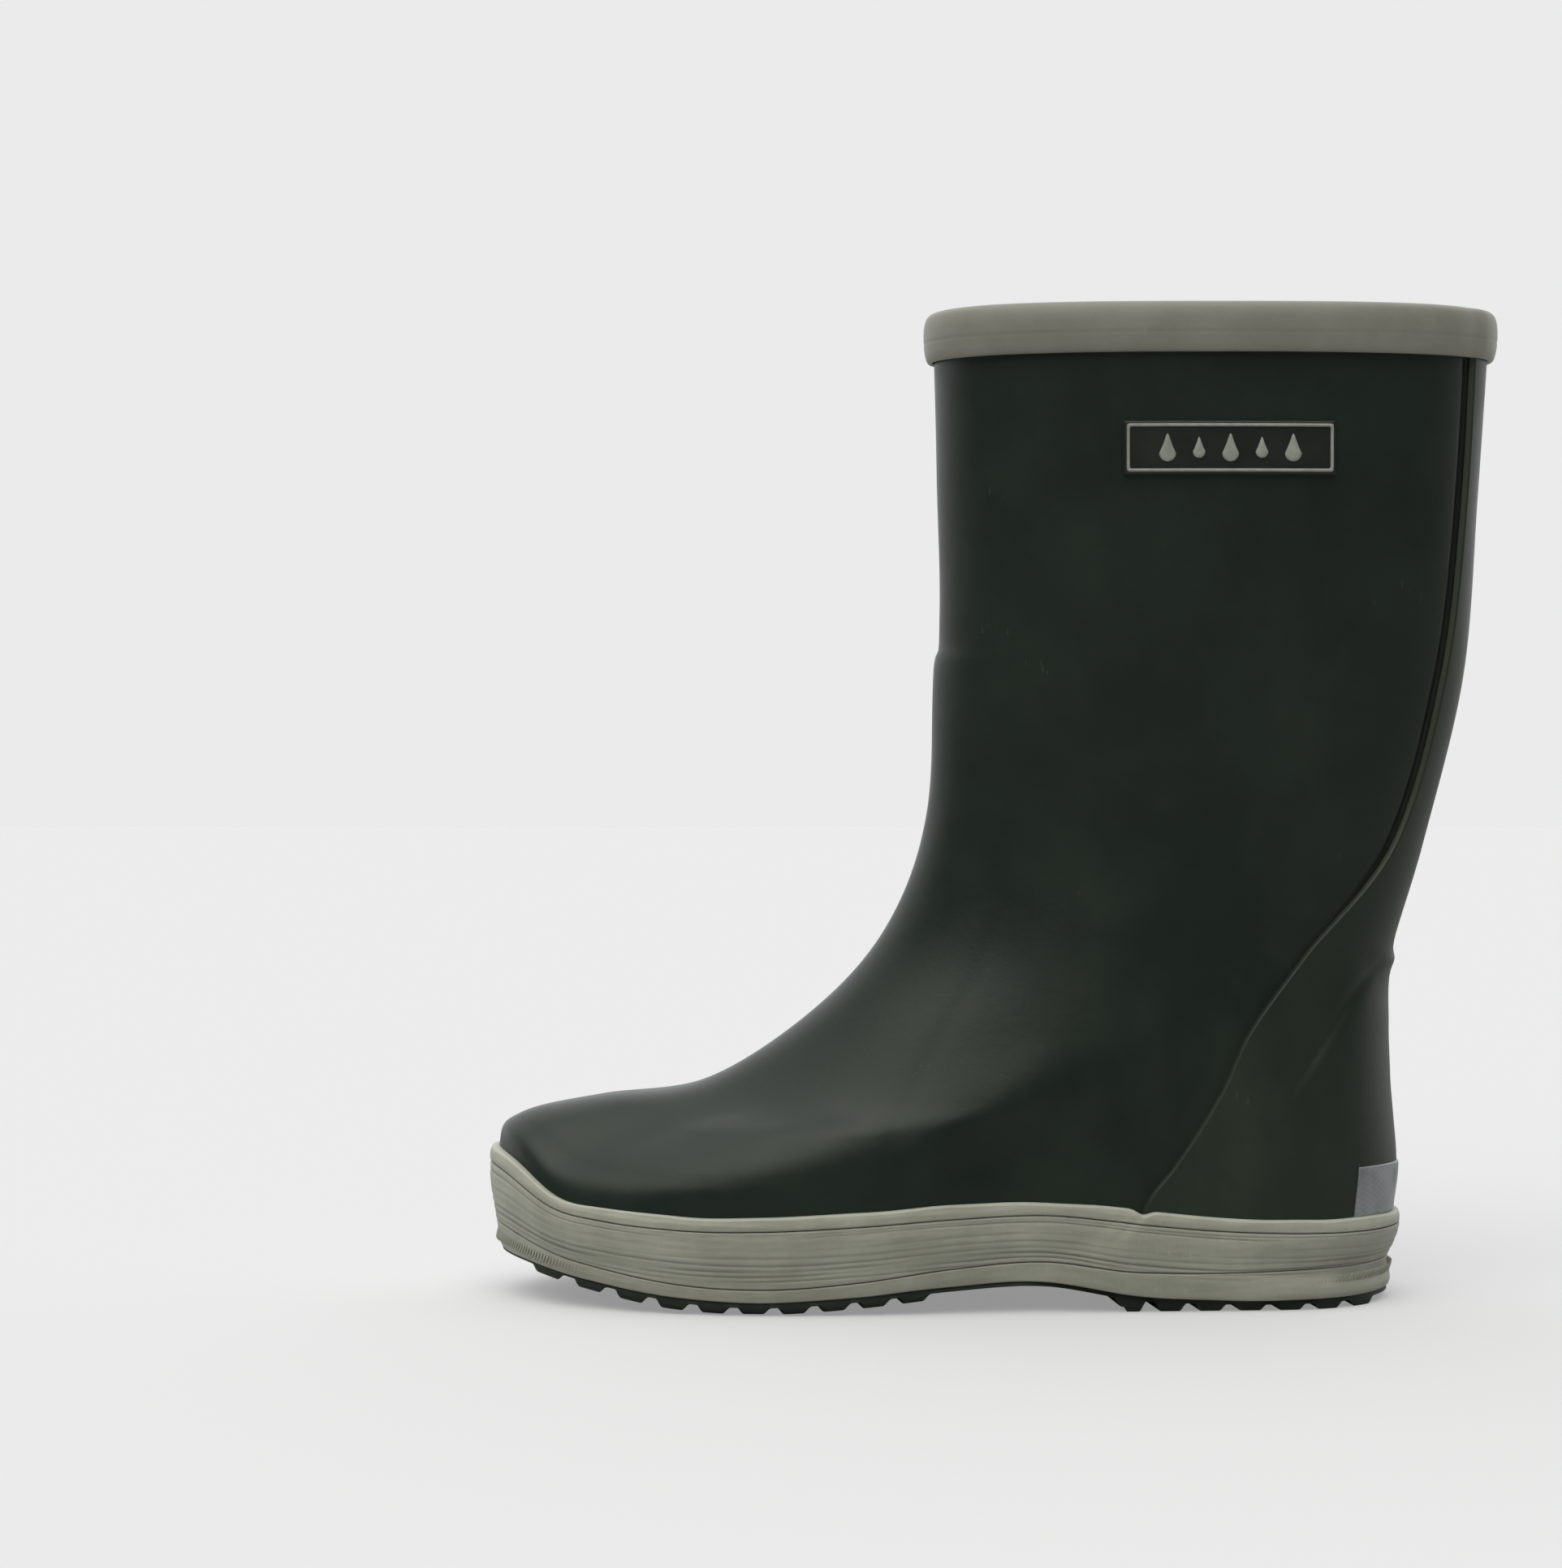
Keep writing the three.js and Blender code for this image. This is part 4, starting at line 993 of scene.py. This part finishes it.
def ridge_points(start, end, height_mm):
    turns = even_turns(start, end, RIDGE_PITCH, RIDGE_LEVEL)
    level = height_mm / FOXING_MM
    centre = skin(turns, level, foxing_face(turns, np.full_like(turns, level))[0] - 0.02)
    upper = skin(turns, level + 0.06, foxing_face(turns, np.full_like(turns, level + 0.06))[0])
    beside = skin(turns + 0.01, level) - skin(turns - 0.01, level)
    beside /= np.linalg.norm(beside, axis=-1, keepdims=True)
    rise = upper - centre
    rise /= np.linalg.norm(rise, axis=-1, keepdims=True)
    outward = np.cross(beside, rise)
    outward /= np.linalg.norm(outward, axis=-1, keepdims=True)
    rise = rise * math.cos(RIDGE_LEAN) + beside * math.sin(RIDGE_LEAN)
    side = np.cross(rise, outward)
    middle = (start + end) / 2
    fade = 1 - smooth(np.abs(turns - middle), (end - start) / 2 * 0.72, (end - start) / 2)
    return centre, side, -outward, rise, 0.25 + 0.75 * fade


def euler_of(side, depth, rise):
    """Turns that carry the axes X, Y and Z onto three directions, one for each point."""
    frames = np.stack([side, depth, rise], -1)
    return [Matrix(axes.tolist()).to_euler() for axes in frames]


def ridge_carrier(name, rows):
    centre, side, depth, rise, fade = (np.concatenate(parts) for parts in zip(*rows))
    mesh = bpy.data.meshes.new(name)
    mesh.from_pydata((centre * MM + SHIFT * MM).tolist(), [], [])
    turned = mesh.attributes.new("turned", "FLOAT_VECTOR", "POINT")
    turned.data.foreach_set("vector", np.array(euler_of(side, -depth, rise), np.float32).ravel())
    mesh.attributes.new("fade", "FLOAT", "POINT").data.foreach_set("value", fade.astype(np.float32))
    carrier = bpy.data.objects.new(name, mesh)
    bpy.context.scene.collection.objects.link(carrier)
    return carrier


HEEL_HALF_TURN = 0.62
TOE_HALF_TURN = 0.66
ridge_rows = [
    ridge_points(np.pi - HEEL_HALF_TURN, np.pi + HEEL_HALF_TURN, 4.3),
    ridge_points(-TOE_HALF_TURN, TOE_HALF_TURN, 3.4),
]
carrier = ridge_carrier("ridge_points", ridge_rows)
ridges = run_nodes("foxing_knurl", carrier, ridge_tree(), {
    "Ridge Length": 0.0044, "Ridge Width": 0.00052, "Ridge Height": 0.00055, "Material": grey_rubber,
})
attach(ridges, "boot")
print("ridges", sum(len(row[0]) for row in ridge_rows), "faces", len(ridges.data.polygons))

# %% [markdown]
# The outsole.
# The sole is a thin dark plate with bent bars either side of a centre channel. The bars lie flat on
# the floor under the ball and the heel and rise towards the toe. A height field over a grid that
# follows the sole's outline gives every bar its rounded shoulders, and the bars' outer ends then make
# the scalloped edge that shows below the grey foxing.

# %% Outsole
LUG_HALF = 2.6
LUG_SHOULDER = 1.3
FOREFOOT_LUGS = (-106.6, 9.1, 10)
HEEL_LUGS = (25.3, 9.3, 7)
CHANNEL_HALF = 2.5
TREAD_DEPTH = 2.9
HEEL_START_X = 28
SOLE_ROWS = 560
LUG_END_RISE = 1.5  # how far the bars' outer ends curl up from the floor
TOE_LUG_RISE = 2.6  # how much further the toe bars' ends curl up, so that they hardly show from the side


def tread_z(x):
    """Height of the bars' faces: flat under the heel, rising with the sole ahead of it."""
    under = np.maximum(0, sole_z(x) - TREAD_DEPTH)
    return np.where(x > HEEL_START_X, 0.0, under)


def lug_lean(y):
    return np.interp(np.abs(y), (2.5, 16.5, 50), (0, 1.8, 6))


def lug_height(x, y):
    """1 on the tread bars, 0 between them."""
    across = x - lug_lean(y)
    total = np.zeros_like(x)
    for start, pitch, count in (FOREFOOT_LUGS, HEEL_LUGS):
        nearest = np.clip(np.round((across - start) / pitch), 0, count - 1)
        away = np.abs(across - (start + nearest * pitch))
        total = np.maximum(total, 1 - smooth(away, LUG_HALF - 0.5, LUG_HALF + LUG_SHOULDER))
    return total * smooth(np.abs(y), CHANNEL_HALF - 0.4, CHANNEL_HALF + 0.8)


def across_sole(turn, level, offset, columns):
    """A grid of points from the outer edge to the inner edge of the sole, one row for each turn."""
    outer = skin(turn, level, offset)
    inner = skin(2 * np.pi - turn, level, offset)
    return outer[:, None] + (inner - outer)[:, None] * columns[None, :, None]


along = np.linspace(0, 1, SOLE_ROWS)
turns = turn_at(0.0006 + 0.9988 * (0.93 * along + 0.07 * (1 - np.cos(np.pi * along)) / 2))
columns = spread(76, 0.7)
edge = 0.7 + 1.0 * smooth(turns, 2.3, 2.7)
bottom = across_sole(turns, 0.0, edge, columns)
x, y = bottom[..., 0], bottom[..., 1]
width = np.linalg.norm(bottom[:, -1] - bottom[:, 0], axis=-1)[:, None]
from_edge = np.minimum(columns, 1 - columns)[None, :] * width
from_edge = np.minimum(from_edge, np.minimum(x - x[0].mean(), x[-1].mean() - x))
flange = sole_z(x) - 0.45 - 0.55 * smooth(x, -95, -60)
lug = lug_height(x, y)
lug_foot = tread_z(x) + LUG_END_RISE * (1 - rounded(from_edge, 4.5)) * (1 - smooth(x, 0, 30))
lug_foot += TOE_LUG_RISE * (1 - smooth(x, -104, -76)) * (1 - rounded(from_edge, 9))
bottom[..., 2] = flange + (np.minimum(lug_foot, flange) - flange) * lug
bottom[..., 2] += (1 - rounded(from_edge, 0.6)) * 0.3
top = across_sole(turns, 0.0, edge - 0.25, columns)
top[..., 2] = sole_z(top[..., 0]) + 2.6 - 2.5 * (1 - rounded(from_edge, 1.6))
sole = sheet("outsole_tread", top, bottom, False)
finish(sole, sole_rubber, "sole_rubber", "boot", "outsole")
print("tread bars", FOREFOOT_LUGS[2] + HEEL_LUGS[2], "on each side")

# %% [markdown]
# The lining.
# Inside the rubber is a cotton knit sock that was pulled over the last first and is now bonded all
# round. It is one thin sheet that follows the same surface further in. It ends under the binding. The
# size it was cut to is a little less than the area it covers, because knit is stretched on.

# %% Lining
LINING_OUT, LINING_IN = -3.05, -3.85


def lining_face(offset, count):
    turn, level = np.broadcast_arrays(
        np.linspace(0, 2 * np.pi, 241)[None, :-1], np.linspace(0.46, RIM - 0.05, count)[:, None])
    base = skin(turn, level)
    x, y, z = (base[..., axis] for axis in range(3))
    ease = 0.12 * waves(x, y, z, 16, 81) + 0.18 * waves(x, y, z, 42, 82)
    return skin(turn, level, offset + ease)


lining = sheet("knit_lining_sock", lining_face(LINING_OUT, 150), lining_face(LINING_IN, 150), True)
finish(lining, knit_lining, "knit_lining", "boot", "lining")

# %% [markdown]
# The insole.
# A loose insole lies on the board: pale foam with a woven cotton face. The foam's top edge is rounded
# by cutting and the heel is dished a little by wear. Both follow one outline, and both ride with the
# insole, which lifts out about its toe.

# %% Insole foam and cloth
INSOLE_EDGE = -5.25
FOAM_BOTTOM, FOAM_TOP = 8.0, 11.0
CLOTH_BOTTOM, CLOTH_TOP = 11.1, 11.9


def wedge_lift(x):
    return 4.4 * smooth(x, 0, 46)


def insole_grid(height, tuck, rows=150, columns=44):
    """Grid over the insole at a height above the sole line, its edge turned down by tuck."""
    turn = turn_at(0.002 + 0.996 * (1 - np.cos(np.pi * np.linspace(0.03, 0.97, rows))) / 2)
    points = across_sole(turn, 0.4, INSOLE_EDGE, spread(columns, 0.6))
    x, y = points[..., 0], points[..., 1]
    width = np.linalg.norm(points[:, -1] - points[:, 0], axis=-1)[:, None]
    side = spread(columns, 0.6)
    from_side = np.minimum(side, 1 - side)[None, :] * width
    from_end = np.minimum(x - x.min(), x.max() - x) + 0.05
    from_edge = np.minimum(from_side, from_end)
    heel_dish = 0.35 * np.exp(-((x - 62) / 22) ** 2 - (y / 17) ** 2)
    ball_dish = 0.3 * np.exp(-((x + 62) / 24) ** 2 - ((y - 4) / 22) ** 2)
    turned_down = tuck * (1 - rounded(from_edge, 1.6))
    points[..., 2] = sole_z(x) + wedge_lift(x) + height - heel_dish - ball_dish - turned_down
    return points


foam_pad = sheet("insole_foam_pad", insole_grid(FOAM_TOP, 0.9), insole_grid(FOAM_BOTTOM, -0.2), False)
finish(foam_pad, foam, "foam", "insole", "insole_foam")
facing = sheet("insole_cloth_facing", insole_grid(CLOTH_TOP, 0.9), insole_grid(CLOTH_BOTTOM, 0.9), False)
finish(facing, insole_weave, "insole_cloth", "insole", "insole_cloth")

# %% [markdown]
# The badge.
# A small black rubber plate with a raised grey border is cured onto the outer side of the leg, near
# the top. The raised ornament inside it is a row of raindrops. The plate bends with the leg, so every
# point is placed by its distance along and up the leg, where a flat plate would stand off at its ends.

# %% Points on the outer side of the leg
BADGE_X, BADGE_Z = 52.3, 197.6
BADGE_WIDTH, BADGE_HEIGHT = 48.9, 12.6
PLATE_TOP = 1.15
PLATE_SUNK = -0.05
fine_levels = np.linspace(7, RIM, 400)


def on_leg(x, z, offset):
    level = np.interp(z, through(FRONT_Z, fine_levels), fine_levels)
    front, back = through(FRONT_X, level), through(BACK_X, level)
    turn = turn_at((x - front) / (back - front))
    base = skin(turn, level)
    return skin(turn, level, offset + sway(base))


def on_badge(u, v, offset):
    """A point of the badge from millimetres right and up of its middle."""
    return on_leg(BADGE_X + u, BADGE_Z + v, offset)


u = (spread(110, 0.4) - 0.5) * BADGE_WIDTH
v = (spread(34, 0.4) - 0.5) * BADGE_HEIGHT
u, v = np.meshgrid(u, v)
from_edge = np.minimum(BADGE_WIDTH / 2 - np.abs(u), BADGE_HEIGHT / 2 - np.abs(v))
plate_height = 0.15 + (PLATE_TOP - 0.15) * rounded(from_edge, 0.55)
plate = sheet("badge_plate_strip", on_badge(u, v, plate_height), on_badge(u, v, PLATE_SUNK), False,
              {"edge": 0.35 * np.clip(1 - from_edge / 0.4, 0, 1)})
finish(plate, badge_rubber, "badge_rubber", "boot", "badge_plate")

# %% Border and raindrops
BORDER_INSET, BORDER_WIDTH, BORDER_HEIGHT = 0.75, 0.75, 0.55
RELIEF_SUNK = 0.15  # how deep the raised parts start below the plate's face
DROP_HEIGHT = 0.6
BELLY_SHARE = 0.3
DROP_PITCH = 7.2


def rounded_rectangle(width, height, radius, count=240):
    """Points round a rectangle with rounded corners, evenly spaced."""
    corners = [(1, -1, -90), (1, 1, 0), (-1, 1, 90), (-1, -1, 180)]
    points = []
    for side_x, side_y, start in corners:
        for angle in np.radians(np.linspace(start, start + 90, 7)):
            points.append((side_x * (width / 2 - radius) + radius * math.cos(angle),
                           side_y * (height / 2 - radius) + radius * math.sin(angle)))
    points = np.array(points + points[:1])
    walked = np.concatenate([[0], np.cumsum(np.linalg.norm(np.diff(points, axis=0), axis=1))])
    even = np.arange(count) * walked[-1] / count
    return np.stack([np.interp(even, walked, points[:, axis]) for axis in range(2)], -1)


def border_ring(inset, offset):
    radius = max(0.9 - 0.5 * inset, 0.25)
    outline = rounded_rectangle(BADGE_WIDTH - 2 * inset, BADGE_HEIGHT - 2 * inset, radius)
    return on_badge(outline[:, 0], outline[:, 1], offset)


border_rings = []
for angle in np.linspace(0, np.pi, 9):
    inset = BORDER_INSET + BORDER_WIDTH * (1 - math.cos(angle)) / 2
    border_rings.append(border_ring(inset, PLATE_TOP - 0.02 + BORDER_HEIGHT * math.sin(angle)))
border_rings += [border_ring(BORDER_INSET + BORDER_WIDTH * t, PLATE_TOP - RELIEF_SUNK) for t in (0.8, 0.2)]
border = swept("badge_border_rib", np.stack(border_rings))
finish(border, badge_relief, "badge_relief", "boot", "badge_border")


def drop_outline(height, count=40):
    """A raindrop about its belly's centre, point upwards."""
    radius = BELLY_SHARE * height
    angle = np.linspace(0, 2 * np.pi, count, endpoint=False)
    lift = np.clip(np.cos(angle), 0, 1)
    narrow = 1 - 0.52 * lift ** 1.2
    u = -radius * np.sin(angle) * narrow
    v = radius * np.cos(angle) + (height - 2 * radius) * lift ** 2.6
    return u, v


def raised_drop(centre, height):
    """Points and faces of a closed, domed raindrop on the badge's face."""
    outline_u, outline_v = drop_outline(height)
    belly = -height / 2 + BELLY_SHARE * height

    def ring(size, offset):
        return on_badge(centre + outline_u * size, belly + outline_v * size, offset)

    foot = PLATE_TOP - RELIEF_SUNK
    grid = [ring(0.05, foot), ring(1, foot)]
    for size in np.sin(np.linspace(np.pi / 2, 0.03, 9)):
        grid.append(ring(size, PLATE_TOP - 0.03 + DROP_HEIGHT * math.sqrt(1 - 0.985 * size ** 3)))
    grid = np.stack(grid)
    rows, cols = grid.shape[:2]
    faces = quads(rows, cols, True).tolist()
    faces.append(list(range(cols))[::-1])
    faces.append([(rows - 1) * cols + c for c in range(cols)])
    return grid.reshape(-1, 3), faces


DROPS = [("first", 6.4), ("second", 4.8), ("third", 6.4), ("fourth", 4.8), ("fifth", 6.4)]
for i, (label, height) in enumerate(DROPS):
    points, faces = raised_drop((i - 2) * DROP_PITCH, height)
    drop = build_mesh(f"badge_raindrop_{label}", points, faces)
    finish(drop, badge_relief, "badge_relief", "boot", f"badge_drop_{label}")

# %% [markdown]
# The reflective patch.
# A strip of grey reflective tape is cured round the heel, over the foot of the stay. It was laid by
# hand, so its corners are not quite square and it has creased a little where it bends.

# %% Reflective patch
PATCH_EDGE = 0.944
PATCH_FOOT, PATCH_HEAD = 1.0, 2.08
PATCH_ON_STAY = STAY_HEIGHT + 0.03
s, t = np.meshgrid(spread(180, 0.4), spread(52, 0.4))
turn = turn_at(PATCH_EDGE - 0.0012 * (t - 0.5)) * (1 - 2 * s) + 2 * np.pi * s
level = PATCH_FOOT + (PATCH_HEAD - PATCH_FOOT + 0.03 * np.sin(5 * s + 1)) * t
base = skin(turn, level)
near_side, near_top = edge_distance(base)
from_edge = np.minimum(near_side, near_top)
x, y, z = (base[..., axis] for axis in range(3))
crumple = 0.10 * waves(x, y, z, 7, 91) + 0.08 * waves(x, y, z, 15, 92)
under = PATCH_ON_STAY + sway(base)
patch_top = under + 0.34 * rounded(from_edge, 0.3) + crumple * smooth(from_edge, 0, 1.5) + 0.1
patch = sheet("heel_patch_tape", skin(turn, level, patch_top), skin(turn, level, under - 0.05), False)
finish(patch, reflective_tape, "reflective_tape", "boot", "reflective_patch")

# %% [markdown]
# The hidden layers.
# The filler, wedge, board and stiffening sheets are out of sight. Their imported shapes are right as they
# are, so they keep them and only get their own finishes, which show if the boot is taken apart.

# %% Finishes of the hidden layers
HIDDEN = {
    "midsole_filler": sponge, "heel_wedge": sponge, "insole_board": board,
    "toe_puff": stiffener_sheet, "heel_counter": stiffener_sheet, "instep_reinforcement": stiffener_sheet,
}
for node, material in HIDDEN.items():
    for material_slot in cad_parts[node].material_slots:
        material_slot.material = material
print("hidden layers", len(HIDDEN))

# %% [markdown]
# Studio.
# The boot stands on a plain pale floor in a white room. Walls to the sides and behind light it, and
# the room is darker towards the camera, so the wide side of the leg stays deep green while both edges
# catch the light. One broad soft light overhead picks out the toe and instep.

# %% Floor, light and camera
DARK_SIDE = (0.006, 0.008, 0.010, 1)
BRIGHT_WALLS = (1.16, 1.17, 1.18, 1)
BACKDROP = (0.83, 0.83, 0.83, 1)
WARM_LIGHT = (2.75, 2.8, 2.5, 1)
CAMERA_DISTANCE = 0.830
FOCAL = 80.4
FLOOR_GLOW = 0.29  # keeps the shadow under the boot light
PAPER_BOUNCE = (0.42, 0.42, 0.42, 1)
PAPER_SEEN = (0.474, 0.466, 0.494, 1)
IMAGE_HEIGHT, CAMERA_SHIFT = 1932, -26  # the view is shifted by a small share of the image's height
FLOOR_HALF = 6.0
floor_sides = ((-1, -1), (1, -1), (1, 1), (-1, 1))
floor_corners = [(FLOOR_HALF * side_x, FLOOR_HALF * side_y, 0) for side_x, side_y in floor_sides]
floor_mesh = bpy.data.meshes.new("floor")
floor_mesh.from_pydata(floor_corners, [], [(0, 1, 2, 3)])
floor = bpy.data.objects.new("floor", floor_mesh)
bpy.context.scene.collection.objects.link(floor)
material, tree, surface = new_material("floor_paper")
seen = add(tree, "ShaderNodeLightPath").outputs["Is Camera Ray"]
paper = blend_colours(tree, seen, PAPER_BOUNCE, PAPER_SEEN)
tree.links.new(paper, surface.inputs["Base Color"])
surface.inputs["Roughness"].default_value = 0.9
surface.inputs["Specular IOR Level"].default_value = 0.0
surface.inputs["Emission Color"].default_value = (1, 1, 1, 1)
tree.links.new(math_node(tree, "MULTIPLY", seen, FLOOR_GLOW), surface.inputs["Emission Strength"])
floor_mesh.materials.append(material)

world = bpy.data.worlds.new("studio")
bpy.context.scene.world = world
world.use_nodes = True
tree = world.node_tree
direction = add(tree, "ShaderNodeTexCoord").outputs["Generated"]
split = add(tree, "ShaderNodeSeparateXYZ", {0: direction}).outputs
walls = blend_colours(tree, between(tree, split[1], -0.28, 0.5), DARK_SIDE, BRIGHT_WALLS)


def soft_box(tree, towards, inner, outer):
    """A soft patch in one direction of the room: 1 in its middle and 0 outside it."""
    aim = tuple(Vector(towards).normalized())
    facing = add(tree, "ShaderNodeVectorMath", {0: direction, 1: aim}, operation="DOT_PRODUCT")
    return between(tree, facing.outputs["Value"], outer, inner)


overhead = soft_box(tree, (-0.16, -0.42, 0.88), 0.985, 0.72)
warm = blend_colours(tree, overhead, (0, 0, 0, 1), WARM_LIGHT)
lit = add(tree, "ShaderNodeVectorMath", {0: walls, 1: warm}, operation="ADD").outputs[0]
seen = add(tree, "ShaderNodeLightPath").outputs["Is Camera Ray"]
tree.links.new(blend_colours(tree, seen, lit, BACKDROP), tree.nodes["Background"].inputs["Color"])
tree.nodes["Background"].inputs["Strength"].default_value = 1.0

camera_data = bpy.data.cameras.new("camera")
camera_data.lens = FOCAL
camera_data.sensor_width = 36
camera_data.shift_y = CAMERA_SHIFT / IMAGE_HEIGHT
camera = bpy.data.objects.new("camera", camera_data)
camera.location = (-0.0508 + SHIFT[0] * MM, -CAMERA_DISTANCE, 0.1252)
camera.rotation_euler = (math.pi / 2, 0, 0)
bpy.context.scene.collection.objects.link(camera)
bpy.context.scene.camera = camera
bpy.context.scene.view_settings.view_transform = "Standard"
